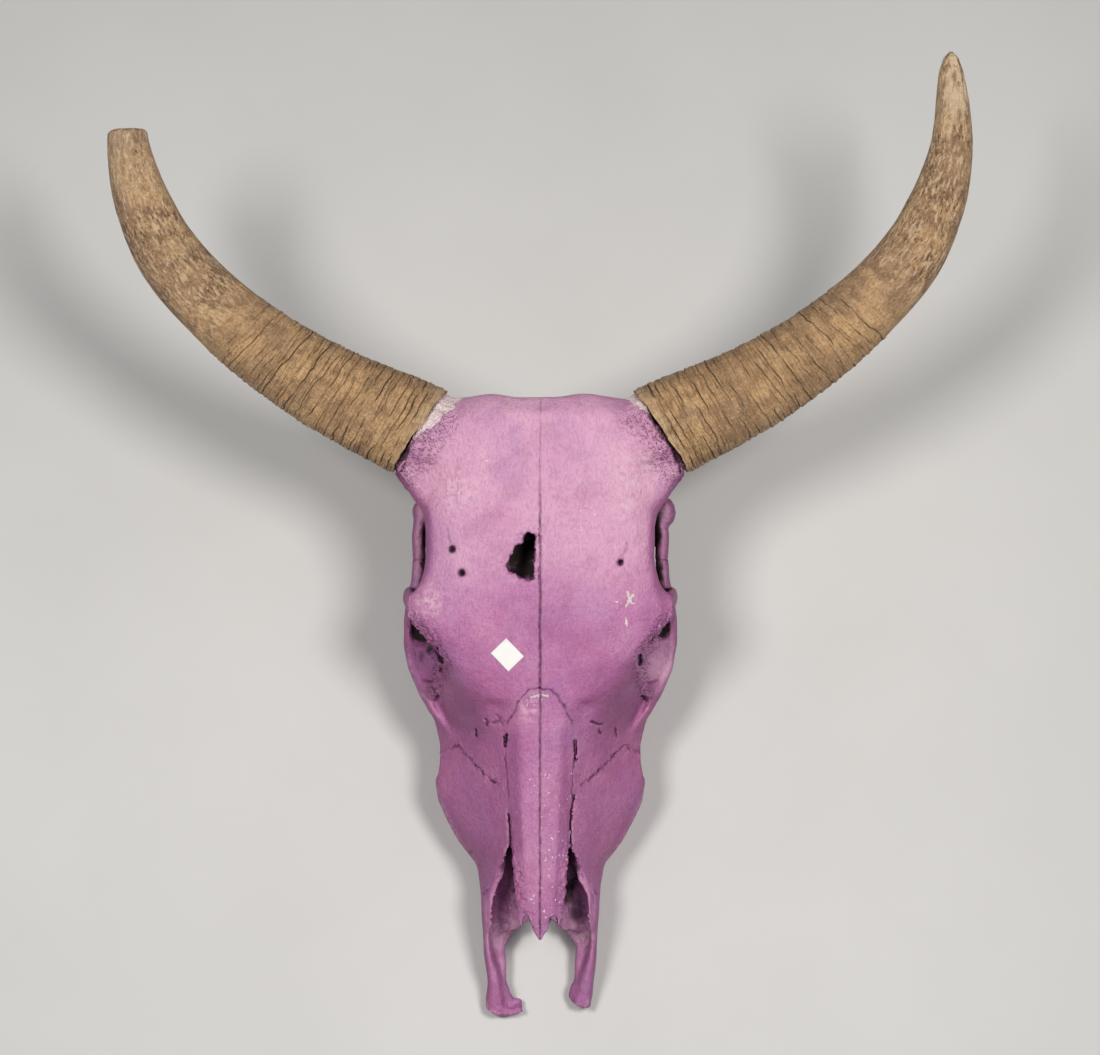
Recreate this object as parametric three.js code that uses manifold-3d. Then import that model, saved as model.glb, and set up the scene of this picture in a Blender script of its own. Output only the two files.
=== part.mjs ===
// Cattle skull without its lower jaw, with both horn sheaths and a small blank price label.
// It lies on its cheek teeth and on the two processes beside the neck joint.
//
// The bones are shaped in the forehead's own frame, in millimetres: x runs to the animal's left,
// "along" runs from the poll towards the snout, and "depth" goes down from the forehead.
// At the end the skull is laid down, with +Z up, the snout towards -Y and the floor at z = 0.
import * as THREE from "three";
import { mergeVertices } from "three/addons/utils/BufferGeometryUtils.js";
import Module from "manifold-3d";

const wasm = await Module();
wasm.setup();

// Driving dimensions.
const POLL_HEIGHT = 218;
const FOREHEAD_SLOPE = THREE.MathUtils.degToRad(18);
const SUTURE_GAP = 0.3;
const FAR = 600;

// Forehead roof, by distance along: ridge depth, half width, edge depth, underside depth.
const FOREHEAD_ENDS = [0, 236];
const FOREHEAD = stations([
  [0, 15, 64, 30, 54],
  [5, 5, 73, 26, 62],
  [14, 1, 79, 24, 68],
  [32, 0, 86, 24, 72],
  [60, -1, 92, 24, 64],
  [90, -1, 92, 19, 52],
  [120, 0, 91, 17, 45],
  [142, 0, 94, 17, 41],
  [157, 0, 103, 18, 37],
  [168, 1, 106, 19, 34],
  [182, 1, 95, 18, 32],
  [198, 2, 80, 17, 30],
  [214, 3, 66, 16, 29],
  [236, 5, 46, 14, 28],
]);

// Braincase: half widths at the shoulder, temple wall and mastoid, then base half width and depth.
const BRAINCASE_ENDS = [4, 206];
const BRAINCASE = stations([
  [4, 60, 70, 68, 34, 144],
  [11, 74, 88, 88, 38, 158],
  [28, 80, 97, 98, 36, 163],
  [46, 76, 92, 92, 34, 156],
  [64, 66, 74, 76, 32, 149],
  [88, 58, 62, 60, 30, 140],
  [115, 54, 58, 52, 28, 132],
  [145, 46, 50, 42, 25, 124],
  [172, 38, 40, 34, 22, 117],
  [206, 32, 34, 30, 22, 112],
]);
const BRAINCASE_TOP = 26;
const SHOULDER_DEPTH = 40;
const TEMPLE_DEPTH = 85;
const MASTOID_DEPTH = 115;
const BASE_ROUNDING = 6;
const NAPE_SLOPE = 0.25;
const NAPE_TOP = 20;

// Face: half width of the bridge, half width and depth of the cheek, half width at the sockets.
const FACE_ENDS = [182, 424];
const FACE = stations([
  [182, 46, 44, 80, 40],
  [200, 50, 62, 84, 52],
  [216, 46, 82, 84, 60],
  [234, 36, 90, 84, 63],
  [255, 29, 86, 83, 64],
  [280, 26.5, 81, 82, 64],
  [312, 24.5, 84.5, 80, 63],
  [332, 22.5, 74, 77, 59],
  [352, 22.5, 62, 73, 54],
  [370, 22.5, 51, 67, 48],
  [400, 22.5, 47, 60, 44],
  [424, 22.5, 46, 58, 42],
]);
const BRIDGE_START = { along: 190, depth: 1.5 };
const BRIDGE_FALL = 0.03;
const BRIDGE_SIDE = 12;
const CROWN_HEIGHT = 20;
const PALATE_VAULT = 8;

// Nasal cavity: half width, roof depth, floor depth. The passage to the throat leaves it behind.
const NASAL_CAVITY_ENDS = [244, 440];
const NASAL_CAVITY = stations([
  [244, 8, 26, 50],
  [262, 15, 20, 70],
  [300, 21, 18, 84],
  [330, 25, 18, 80],
  [352, 27, 18, 76],
  [375, 30, 19, 73],
  [400, 34, 20, 68],
  [440, 37, 21, 65],
]);
const NASAL_FLOOR = 27;
const OPENING_FLOOR = 37;
const NOSE_FRONT = 422;
const THROAT_PASSAGE = [
  [0, 300, 70],
  [0, 252, 94],
  [0, 206, 119],
  [0, 168, 136],
];
const THROAT_HALF = [14, 12];

// Horns: axis points as x, along and depth, then radius by share of the axis from the skull out.
const HORN_AXIS = [
  [66, 38, 38],
  [104, 21.5, 36],
  [174, -12.5, 30],
  [237, -56.5, 22],
  [289, -112, 13],
  [316, -182.5, 5],
  [316.5, -265, 0],
];
const HORN_RADIUS = stations([
  [0, 35],
  [0.1, 35],
  [0.27, 32.5],
  [0.45, 28.6],
  [0.63, 25.4],
  [0.73, 21.6],
  [0.82, 17],
  [0.91, 12.8],
  [0.965, 9.4],
  [0.99, 5.6],
  [1, 1.2],
]);
const HORN_FLATTENING = 0.96;
const HORN_RINGS = { count: 7, height: 1.1, end: 0.5 };
const HORN_JOINT = { x: 96, along: 27, lean: 0.6 };
const HORN_BREAK = { x: 317, along: -205, depth: 3, normal: [-0.12, 0.97, 0.1] };

// Eye sockets, cheek arches and the bars behind the sockets, for the left side.
const ORBIT = { x: 98, along: 195, depth: 50, radii: [54, 33, 28] };
const CHEEK_ARCH = [
  [58, 292, 84],
  [74, 262, 83],
  [90, 238, 82],
  [101, 214, 83],
  [105, 190, 86],
  [104, 168, 89],
  [99.5, 146, 94],
  [98, 120, 98],
  [99, 100, 101],
  [92, 80, 104],
  [72, 66, 105],
];
const CHEEK_ARCH_HEIGHT = stations([
  [0, 12],
  [0.12, 19],
  [0.3, 15],
  [0.45, 12],
  [0.7, 10],
  [0.84, 12],
  [1, 17],
]);
const CHEEK_ARCH_HALF = 5.5;
const ORBIT_SHELF = [
  [66, 252, 80],
  [80, 230, 80],
  [88, 208, 82],
  [93, 186, 87],
  [97, 172, 90],
];
const ORBIT_SHELF_HALF = stations([
  [0, 10, 12],
  [0.5, 15, 7],
  [1, 8, 6],
]);
const EYE_BAR = [
  [99, 161, 20],
  [104, 157, 48],
  [102, 159, 90],
];
const EYE_BAR_HALF = [5, 9];

// Round forms under the skull and beside the neck joint, for the left side.
const CONDYLE = { x: 29, along: 55, depth: 156, radii: [19, 18, 22] };
const EAR_BULLA = { x: 42, along: 100, depth: 146, radii: [13, 18, 17] };
const JAW_JOINT = { x: 76, along: 107, depth: 108, radii: [25, 14, 11] };
const ARCH_KNOB_LEFT = { x: 101, along: 89, depth: 101, radii: [9, 12, 13] };
const ARCH_KNOB_RIGHT = { x: 96, along: 89, depth: 101, radii: [8, 11, 12] };
const NAPE_TUBERCLE = { x: 0, along: 24, depth: 66, radii: [30, 9, 18] };
const NECK_PROCESS = [
  [66, 58, 120],
  [64, 72, 160],
  [57, 90, 212],
];
const NECK_PROCESS_HALF = stations([
  [0, 12, 17],
  [0.6, 9, 12],
  [1, 5, 7],
]);
const PTERYGOID = [
  [20, 132, 124],
  [24, 165, 126],
  [29, 205, 121],
  [36, 240, 114],
];
const PTERYGOID_HALF = stations([
  [0, 4, 9],
  [0.5, 4, 18],
  [1, 4, 12],
]);
const NECK_OPENING = [
  [0, 20, 141],
  [0, 95, 117],
];
const NECK_OPENING_HALF = [19, 17];

// Premaxillae: outer bar and inner shelf of the left one, and the bent tip of the right one.
const PREMAXILLA_BAR = [
  [42.5, 386, 60],
  [41.5, 416, 59],
  [39.5, 442, 59],
  [36, 464, 60],
];
const PREMAXILLA_TIP_LEFT = [32.5, 482, 61];
const PREMAXILLA_TIP_RIGHT = [35.5, 489, 61];
const PREMAXILLA_BAR_HALF = stations([
  [0, 5, 19],
  [0.5, 5.2, 13],
  [0.8, 6.5, 9],
  [1, 8.5, 6.5],
]);
const PREMAXILLA_SHELF = [
  [34, 396, 71],
  [34, 430, 69],
  [34, 452, 66],
  [34, 474, 63],
];
const PREMAXILLA_SHELF_HALF = [8.5, 5];
const PREMAXILLA_HOOK = [
  [36, 483, 62],
  [24, 487, 62],
  [14, 484, 62],
];
const PREMAXILLA_HOOK_HALF = [4.5, 5];

// Cheek teeth from the front one back: length along the jaw, half width, lobes.
const TEETH = [
  { length: 17, half: 8, lobes: 1 },
  { length: 19, half: 9, lobes: 1 },
  { length: 18, half: 10, lobes: 1 },
  { length: 23, half: 11, lobes: 2 },
  { length: 27, half: 11, lobes: 2 },
  { length: 28, half: 10.5, lobes: 2 },
];
const TOOTH_ROW_FRONT = 357;
const TOOTH_ROOT = 26;
const TOOTH_TAPER = [1.06, 0.86];
const TOOTH_INSET = 1.5;

// Outlines seen from above, as x and along. The first is the broken hole in the right frontal.
const FOREHEAD_HOLE = [
  [-12, 104.5],
  [-3.2, 105.5],
  [-3.6, 113],
  [-4.4, 129],
  [-4.2, 142.5],
  [-15, 140],
  [-20, 136.5],
  [-23, 137.5],
  [-26.5, 131],
  [-22.5, 123],
  [-19, 115],
  [-12.8, 112.6],
];
const FOREHEAD_HOLE_FLOOR = 20;
const SINUS = { x: -19, along: 123, depth: 21, radii: [27, 33, 14] };
const SINUS_WALL = 3;
const BROW_PORES = [
  [-68, 118],
  [-60.5, 136],
  [61.5, 128],
];
const BROW_PORE_RADIUS = 2.6;
const BROW_PORE_DEPTH = 16;
const NASAL_HALF = [
  [0, 225.5],
  [9, 227],
  [13, 230.5],
  [17.5, 237.5],
  [21.5, 246.5],
  [25.5, 254],
  [26.8, 268],
  [26.5, 282],
  [25, 303],
  [22.4, 320],
  [21.6, 345],
  [21, 362],
  [20, 377],
  [18.6, 391],
  [16.8, 406],
  [15, 413],
  [12.5, 403],
  [9.5, 399],
  [6, 410],
  [2.5, 418],
  [0, 422],
];
const OPENING_HALF = [
  [0, 306],
  [25, 306],
  [24.8, 320],
  [24.2, 348],
  [28.5, 362],
  [33, 378],
  [36.6, 393],
  [38.4, 410],
  [38.4, 430],
  [0, 430],
];
const FISSURE_HALF = [
  [0, 408],
  [12, 416],
  [20, 424],
  [25, 434],
  [26.5, 448],
  [26.5, FAR],
  [0, FAR],
];
const FRONTAL_HALF = [
  [0, -FAR],
  [FAR, -FAR],
  [FAR, 206],
  [78, 206],
  [60, 224],
  [40, 240],
  [26, 252],
  [0, 252],
];
const CHEEKBONE_HALF = [
  [31, 302],
  [46, 293],
  [66, 274],
  [84, 283],
  [FAR, 290],
  [FAR, 128],
  [86, 128],
  [76, 160],
  [60, 200],
  [24, 256],
];
const CHEEKBONE_FLOOR = 108;
const CHEEKBONE_INSET = 12;
const PREMAXILLA_HALF = [
  [24, 350],
  [31, 366],
  [40, 384],
  [52, 400],
  [FAR, 400],
  [FAR, FAR],
  [0, FAR],
  [0, 404],
  [24, 404],
];
const MAXILLA_HALF = [
  [0, 238],
  [34, 238],
  [42, 198],
  [FAR, 198],
  [FAR, FAR],
  [0, FAR],
];

// Underside of the frontals seen from the side, as along and depth.
const FRONTAL_SIDE = [
  [-FAR, -FAR],
  [-FAR, 78],
  [60, 78],
  [84, 42],
  [168, 38],
  [260, 32],
  [260, -FAR],
];

const LABEL = { x: -25.2, along: 199.4, width: 16.7, length: 19.6, turn: 0.77, thickness: 0.5 };
const LABEL_REACH = 60;

const BONE_PAINT = { color: 0x7b2f7d, roughness: 0.72, metalness: 0 };
const HORN_LOOK = { color: 0x6e5b48, roughness: 0.6, metalness: 0 };
const LABEL_LOOK = { color: 0xe9e6dc, roughness: 0.8, metalness: 0 };

const UPWARD = new THREE.Vector3(0, 0, 1);
const BACKWARD = new THREE.Vector3(0, 1, 0);

// Smooth values by distance: each row is the distance and the values there.
function stations(rows) {
  const distances = rows.map((row) => row[0]);
  const values = rows.flatMap((row) => row.slice(1));
  const spline = new THREE.CubicInterpolant(distances, values, rows[0].length - 1);
  return (distance) => [...spline.evaluate(distance)];
}

function at(x, along, depth) {
  return new THREE.Vector3(x, -along, -depth);
}

function ridgeDepth(along) {
  return BRIDGE_START.depth + BRIDGE_FALL * Math.max(0, along - BRIDGE_START.along);
}

// Depth of the floor plane that the teeth stand on.
function floorDepth(along) {
  return (POLL_HEIGHT - Math.sin(FOREHEAD_SLOPE) * along) / Math.cos(FOREHEAD_SLOPE);
}

function welded(geometry) {
  geometry.deleteAttribute("normal");
  geometry.deleteAttribute("uv");
  return mergeVertices(geometry, 1e-4);
}

function solid(geometry) {
  const closed = welded(geometry);
  const corners = {
    numProp: 3,
    vertProperties: new Float32Array(closed.attributes.position.array),
    triVerts: new Uint32Array(closed.index.array),
  };
  return new wasm.Manifold(new wasm.Mesh(corners));
}

function join(solids) {
  return solids.reduce((sum, next) => sum.add(next));
}

function mirrored(shape) {
  return shape.mirror([1, 0, 0]);
}

function bothSides(shape) {
  return shape.add(mirrored(shape));
}

// A closed body of rings: place(share, angle, reach) gives a point, reach 1 at the surface.
function ringed({ sides, steps }, place) {
  const body = welded(new THREE.CylinderGeometry(1, 1, 1, sides, steps));
  const corners = body.attributes.position;
  for (let i = 0; i < corners.count; i += 1) {
    const angle = Math.atan2(corners.getX(i), corners.getZ(i));
    const reach = Math.min(1, Math.hypot(corners.getX(i), corners.getZ(i)));
    const point = place(corners.getY(i) + 0.5, angle, reach);
    corners.setXYZ(i, point.x, point.y, point.z);
  }
  return solid(body);
}

// A body with mirrored sections: halfSection(along) lists x and depth from the top to the bottom.
function lofted(rings, ends, halfSection, shear = () => 0) {
  const curves = new Map();
  return ringed(rings, (share, angle, reach) => {
    const along = THREE.MathUtils.lerp(ends[1], ends[0], share);
    const key = along.toFixed(3);
    if (!curves.has(key)) {
      const points = halfSection(along).map(([x, depth]) => new THREE.Vector3(x, depth, 0));
      curves.set(key, new THREE.CatmullRomCurve3(points, false, "centripetal"));
    }
    const curve = curves.get(key);
    const edge = curve.getPointAt(Math.min(1, Math.abs(angle) / Math.PI));
    const middle = (curve.getPoint(0).y + curve.getPoint(1).y) / 2;
    const depth = THREE.MathUtils.lerp(middle, edge.y, reach);
    return at(Math.sign(angle) * edge.x * reach, along + shear(along, depth), depth);
  });
}

// A tube along a curve with an oval section: halves(share) gives its half width and half height.
function swept(curve, rings, halves, up) {
  return ringed(rings, (share, angle, reach) => {
    const tangent = curve.getTangentAt(share);
    const across = tangent.clone().cross(up).normalize();
    const rise = across.clone().cross(tangent).normalize();
    const [halfWidth, halfHeight] = halves(share);
    const point = curve.getPointAt(share);
    point.addScaledVector(across, Math.sin(angle) * reach * halfWidth);
    return point.addScaledVector(rise, Math.cos(angle) * reach * halfHeight);
  });
}

function bar(points, rings, halves, up = UPWARD) {
  return swept(new THREE.CatmullRomCurve3(points.map((point) => at(...point))), rings, halves, up);
}

function ball({ x, along, depth, radii }) {
  const geometry = new THREE.SphereGeometry(1, 10, 7);
  geometry.scale(...radii);
  geometry.translate(...at(x, along, depth).toArray());
  return solid(geometry);
}

// A prism over an outline of x and along, between two depths.
function prism(outline, top, bottom) {
  const shape = new THREE.Shape(outline.map(([x, along]) => new THREE.Vector2(x, -along)));
  const geometry = new THREE.ExtrudeGeometry(shape, { depth: bottom - top, bevelEnabled: false });
  geometry.translate(0, 0, -bottom);
  return solid(geometry);
}

// A prism across the skull over an outline of along and depth.
function crossPrism(outline) {
  const shape = new THREE.Shape(outline.map(([along, depth]) => new THREE.Vector2(-along, -depth)));
  const geometry = new THREE.ExtrudeGeometry(shape, { depth: 2 * FAR, bevelEnabled: false });
  geometry.translate(0, 0, -FAR);
  geometry.rotateX(Math.PI / 2);
  geometry.rotateZ(Math.PI / 2);
  return solid(geometry);
}

function withMirror(halfOutline) {
  const other = halfOutline.map(([x, along]) => [-x, along]).reverse();
  return [...halfOutline, ...other];
}

// The same region made wider on every side, so that what it cuts leaves a thin gap.
function widened(region) {
  const shifts = [];
  for (const axis of [0, 1, 2]) {
    for (const side of [-SUTURE_GAP, SUTURE_GAP]) {
      const shift = [0, 0, 0];
      shift[axis] = side;
      shifts.push(region.translate(shift));
    }
  }
  return join([region, ...shifts]);
}

function largest(shape) {
  return shape.decompose().sort((first, second) => second.volume() - first.volume())[0];
}

function onLeft(shape) {
  return largest(shape.trimByPlane([1, 0, 0], SUTURE_GAP / 2));
}

function onRight(shape) {
  return largest(shape.trimByPlane([-1, 0, 0], SUTURE_GAP / 2));
}

function foreheadRoof() {
  return lofted({ sides: 28, steps: 18 }, FOREHEAD_ENDS, (along) => {
    const [ridge, half, edge, underside] = FOREHEAD(along);
    const fall = edge - ridge;
    return [
      [0, ridge],
      [0.45 * half, ridge + 0.05 * fall],
      [0.8 * half, ridge + 0.3 * fall],
      [half, edge],
      [0.92 * half, (edge + underside) / 2],
      [0.55 * half, underside],
      [0, underside + 2],
    ];
  });
}

function braincaseBody() {
  const section = (along) => {
    const [shoulder, temple, mastoid, baseHalf, baseDepth] = BRAINCASE(along);
    return [
      [0, BRAINCASE_TOP],
      [shoulder, SHOULDER_DEPTH],
      [temple, TEMPLE_DEPTH],
      [mastoid, MASTOID_DEPTH],
      [baseHalf, baseDepth - BASE_ROUNDING],
      [0, baseDepth],
    ];
  };
  const nape = (along, depth) =>
    NAPE_SLOPE * (depth - NAPE_TOP) * Math.max(0, 1 - along / BRAINCASE_ENDS[1]);
  return lofted({ sides: 24, steps: 11 }, BRAINCASE_ENDS, section, nape);
}

function faceBody() {
  return lofted({ sides: 28, steps: 18 }, FACE_ENDS, (along) => {
    const [bridge, cheek, cheekDepth, socket] = FACE(along);
    const ridge = ridgeDepth(along);
    const bridgeEdge = ridge + BRIDGE_SIDE;
    const socketDepth = floorDepth(along) - CROWN_HEIGHT;
    return [
      [0, ridge],
      [0.55 * bridge, ridge + 2],
      [bridge, bridgeEdge],
      [0.4 * bridge + 0.6 * cheek, 0.45 * bridgeEdge + 0.55 * cheekDepth],
      [cheek, cheekDepth],
      [socket, socketDepth],
      [0, socketDepth - PALATE_VAULT],
    ];
  });
}

function nasalCavity() {
  return lofted({ sides: 16, steps: 8 }, NASAL_CAVITY_ENDS, (along) => {
    const [half, roof, floor] = NASAL_CAVITY(along);
    const height = floor - roof;
    return [
      [0, roof],
      [0.72 * half, roof + 0.12 * height],
      [half, roof + 0.5 * height],
      [0.8 * half, roof + 0.9 * height],
      [0, floor],
    ];
  });
}

// The left horn from inside the skull out to its tip, with growth rings near the base.
function horn(rings, ringHeight) {
  const curve = new THREE.CatmullRomCurve3(HORN_AXIS.map((point) => at(...point)));
  const halves = (share) => {
    const fade = Math.max(0, 1 - share / HORN_RINGS.end);
    const wave = Math.cos((2 * Math.PI * HORN_RINGS.count * share) / HORN_RINGS.end);
    const radius = HORN_RADIUS(share)[0] + ringHeight * fade * wave;
    return [radius, radius * HORN_FLATTENING];
  };
  return swept(curve, rings, halves, UPWARD);
}

function toothRow() {
  const down = at(0, Math.sin(FOREHEAD_SLOPE), Math.cos(FOREHEAD_SLOPE));
  const upright = new THREE.Quaternion().setFromUnitVectors(BACKWARD, down);
  const height = CROWN_HEIGHT + TOOTH_ROOT;
  const crowns = [];
  let front = TOOTH_ROW_FRONT;
  for (const tooth of TEETH) {
    const lobeLength = tooth.length / tooth.lobes;
    for (let lobe = 0; lobe < tooth.lobes; lobe += 1) {
      const along = front - (lobe + 0.5) * lobeLength;
      const x = FACE(along)[3] - tooth.half - TOOTH_INSET;
      const crown = new THREE.CylinderGeometry(...TOOTH_TAPER, height, 8, 1);
      crown.scale(tooth.half, 1, lobeLength / 2);
      crown.applyQuaternion(upright);
      crown.translate(...at(x, along, floorDepth(along) - height / 2 + 1).toArray());
      crowns.push(solid(crown));
    }
    front -= tooth.length;
  }
  return join(crowns);
}

// Arch, eye socket bar and shelf, neck joint, ear and throat bones and teeth of the left side.
function sideParts() {
  return join([
    bar(CHEEK_ARCH, { sides: 8, steps: 14 }, (share) => [
      CHEEK_ARCH_HALF,
      CHEEK_ARCH_HEIGHT(share)[0],
    ]),
    bar(ORBIT_SHELF, { sides: 8, steps: 6 }, ORBIT_SHELF_HALF),
    bar(EYE_BAR, { sides: 8, steps: 4 }, () => EYE_BAR_HALF, BACKWARD),
    bar(NECK_PROCESS, { sides: 8, steps: 4 }, NECK_PROCESS_HALF, BACKWARD),
    bar(PTERYGOID, { sides: 6, steps: 5 }, PTERYGOID_HALF),
    ball(CONDYLE),
    ball(EAR_BULLA),
    ball(JAW_JOINT),
    toothRow(),
  ]);
}

function premaxilla(tip) {
  return join([
    bar([...PREMAXILLA_BAR, tip], { sides: 8, steps: 7 }, PREMAXILLA_BAR_HALF),
    bar(PREMAXILLA_SHELF, { sides: 8, steps: 4 }, () => PREMAXILLA_SHELF_HALF),
  ]);
}

function browPore([x, along]) {
  const pore = new THREE.CylinderGeometry(BROW_PORE_RADIUS, BROW_PORE_RADIUS, 2 * BROW_PORE_DEPTH, 6);
  pore.rotateX(Math.PI / 2);
  pore.translate(...at(x, along, 0).toArray());
  return solid(pore);
}

// The bare skull body, hollowed by the eye sockets, the nose, the neck opening and the broken hole.
const jointNormal = at(Math.cos(HORN_JOINT.lean), -Math.sin(HORN_JOINT.lean), 0);
const jointPlace = jointNormal.dot(at(HORN_JOINT.x, HORN_JOINT.along, 0));
const jointInward = jointNormal.clone().negate();
const hornCore = horn({ sides: 14, steps: 26 }, 0).trimByPlane(
  jointInward.toArray(),
  SUTURE_GAP / 2 - jointPlace,
);
const hollows = join([
  bothSides(ball(ORBIT)),
  nasalCavity(),
  bar(THROAT_PASSAGE, { sides: 10, steps: 5 }, () => THROAT_HALF),
  bar(NECK_OPENING, { sides: 12, steps: 1 }, () => NECK_OPENING_HALF),
  ball(SINUS).trimByPlane([-1, 0, 0], SINUS_WALL),
  prism(FOREHEAD_HOLE, -FAR, FOREHEAD_HOLE_FLOOR),
  ...BROW_PORES.map(browPore),
]);
let body = join([foreheadRoof(), braincaseBody(), faceBody(), bothSides(hornCore)]);
body = body.subtract(hollows);

// The nose bones come off first, then the slits and the open front of the nose are cut.
const nasalRegion = prism(withMirror(NASAL_HALF), -FAR, NASAL_FLOOR);
const nasals = body.intersect(nasalRegion);
const opening = prism(withMirror(OPENING_HALF), -FAR, OPENING_FLOOR);
const fissure = prism(withMirror(FISSURE_HALF), -FAR, FAR);
body = body.subtract(join([widened(nasalRegion), opening, fissure]));
body = body.trimByPlane([0, 1, 0], -NOSE_FRONT);

// Everything else is joined on, and the floor levels what it touches.
const tips = join([premaxilla(PREMAXILLA_TIP_LEFT), mirrored(premaxilla(PREMAXILLA_TIP_RIGHT))]);
const hook = bar(PREMAXILLA_HOOK, { sides: 8, steps: 3 }, () => PREMAXILLA_HOOK_HALF);
body = join([
  body,
  bothSides(sideParts()),
  ball(ARCH_KNOB_LEFT),
  mirrored(ball(ARCH_KNOB_RIGHT)),
  ball(NAPE_TUBERCLE),
  tips.subtract(fissure),
  mirrored(hook),
]);
body = body.trimByPlane([0, Math.sin(FOREHEAD_SLOPE), Math.cos(FOREHEAD_SLOPE)], -POLL_HEIGHT);

// Thin cuts along the sutures part the bones.
function takeOff(region) {
  const piece = body.intersect(region);
  body = body.subtract(widened(region));
  return piece;
}

const frontalPlan = prism(withMirror(FRONTAL_HALF), -FAR, FAR);
const frontals = takeOff(frontalPlan.intersect(crossPrism(FRONTAL_SIDE)));
const cheekPlan = prism(CHEEKBONE_HALF, -FAR, CHEEKBONE_FLOOR);
const cheekSkin = cheekPlan.trimByPlane([Math.SQRT1_2, 0, Math.SQRT1_2], -CHEEKBONE_INSET);
const cheekbones = takeOff(bothSides(cheekSkin));
const premaxillae = takeOff(bothSides(prism(PREMAXILLA_HALF, -FAR, FAR)));
const maxillae = takeOff(prism(withMirror(MAXILLA_HALF), -FAR, FAR));
const frontalRight = onRight(frontals);

// The label is a thin sheet that follows the bone under it.
const labelBlock = new THREE.BoxGeometry(LABEL.width, LABEL.length, LABEL_REACH);
labelBlock.rotateZ(LABEL.turn);
labelBlock.translate(...at(LABEL.x, LABEL.along, 0).toArray());
const labelTop = frontalRight.translate([0, 0, SUTURE_GAP + LABEL.thickness]);
const labelSheet = labelTop.subtract(frontalRight.translate([0, 0, SUTURE_GAP]));
const label = labelSheet.intersect(solid(labelBlock));

const sheath = horn({ sides: 14, steps: 44 }, HORN_RINGS.height);
const hornLeft = sheath.trimByPlane(jointNormal.toArray(), jointPlace + SUTURE_GAP / 2);
const breakNormal = at(...HORN_BREAK.normal).normalize();
const breakPlace = breakNormal.dot(at(HORN_BREAK.x, HORN_BREAK.along, HORN_BREAK.depth));
const hornRight = mirrored(hornLeft.trimByPlane(breakNormal.toArray(), breakPlace));

function node(name, shape, look) {
  const surface = shape.getMesh();
  const geometry = new THREE.BufferGeometry();
  geometry.setAttribute("position", new THREE.BufferAttribute(surface.vertProperties, 3));
  geometry.setIndex(new THREE.BufferAttribute(surface.triVerts, 1));
  geometry.computeVertexNormals();
  const mesh = new THREE.Mesh(geometry, new THREE.MeshStandardMaterial(look));
  mesh.name = name;
  return mesh;
}

const skull = new THREE.Group();
skull.name = "cattle_skull";
skull.add(node("braincase", largest(body), BONE_PAINT));
skull.add(node("frontal_left", onLeft(frontals), BONE_PAINT));
skull.add(node("frontal_right", frontalRight, BONE_PAINT));
skull.add(node("nasal_left", onLeft(nasals), BONE_PAINT));
skull.add(node("nasal_right", onRight(nasals), BONE_PAINT));
skull.add(node("cheekbone_left", onLeft(cheekbones), BONE_PAINT));
skull.add(node("cheekbone_right", onRight(cheekbones), BONE_PAINT));
skull.add(node("maxilla_left", onLeft(maxillae), BONE_PAINT));
skull.add(node("maxilla_right", onRight(maxillae), BONE_PAINT));
skull.add(node("premaxilla_left", onLeft(premaxillae), BONE_PAINT));
skull.add(node("premaxilla_right", onRight(premaxillae), BONE_PAINT));
skull.add(node("horn_left", largest(hornLeft), HORN_LOOK));
skull.add(node("horn_right", largest(hornRight), HORN_LOOK));
skull.add(node("price_label", largest(label), LABEL_LOOK));

// Laid down on its teeth, with the origin on the floor under the middle of the whole.
const lying = new THREE.Group();
lying.name = "lying_skull";
skull.rotation.x = FOREHEAD_SLOPE;
lying.add(skull);
lying.updateMatrixWorld(true);
const extent = new THREE.Box3().setFromObject(lying, true);
const middle = extent.getCenter(new THREE.Vector3());
skull.position.set(-middle.x, -middle.y, -extent.min.z);
lying.updateMatrixWorld(true);

export default lying;
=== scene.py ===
import math
import random
import bpy
import numpy as np
from mathutils import Matrix, Vector, noise
from mathutils.bvhtree import BVHTree


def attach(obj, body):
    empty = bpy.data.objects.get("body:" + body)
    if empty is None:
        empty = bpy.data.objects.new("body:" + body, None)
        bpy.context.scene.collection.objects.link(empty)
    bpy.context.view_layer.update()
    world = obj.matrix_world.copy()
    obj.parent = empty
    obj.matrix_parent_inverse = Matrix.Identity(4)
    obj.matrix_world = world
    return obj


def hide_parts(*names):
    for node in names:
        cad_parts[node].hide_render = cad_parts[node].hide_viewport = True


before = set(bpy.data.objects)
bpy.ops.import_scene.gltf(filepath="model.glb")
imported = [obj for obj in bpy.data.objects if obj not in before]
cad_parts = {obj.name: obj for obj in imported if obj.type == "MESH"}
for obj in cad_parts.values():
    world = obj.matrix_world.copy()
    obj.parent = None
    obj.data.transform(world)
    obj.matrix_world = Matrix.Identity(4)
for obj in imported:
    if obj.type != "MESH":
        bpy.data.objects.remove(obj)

noise.seed_set(5)  # noise_vector follows the clock without it

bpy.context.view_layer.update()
mm = 0.001

# how the face lies in the frame: the forehead plane is tipped up from the floor at the poll
faceLie = {"slope": 18.0, "pollY": 98.01, "pollZ": 218.0, "viewFrom": 1900.0, "aimX": 7.7, "aimAlong": 101.3}
faceTurn = Matrix.Rotation(math.radians(faceLie["slope"]), 3, "X")
facePoll = Vector((0, faceLie["pollY"], faceLie["pollZ"])) * mm
faceOut = faceTurn @ Vector((0, 0, 1))
faceUp = faceTurn @ Vector((0, 1, 0))
outWay, upWay = np.array(faceOut), np.array(faceUp)


# x, along and depth are millimetres on the face: across, poll to snout, and below the forehead
def facePoint(x, along, depth=0):
    return faceTurn @ Vector((x, -along, -depth)) * mm + facePoll


def faceCoords(co):
    local = (co - np.array(facePoll)) @ np.array(faceTurn) / mm
    return local[:, 0], -local[:, 1], -local[:, 2]


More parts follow.
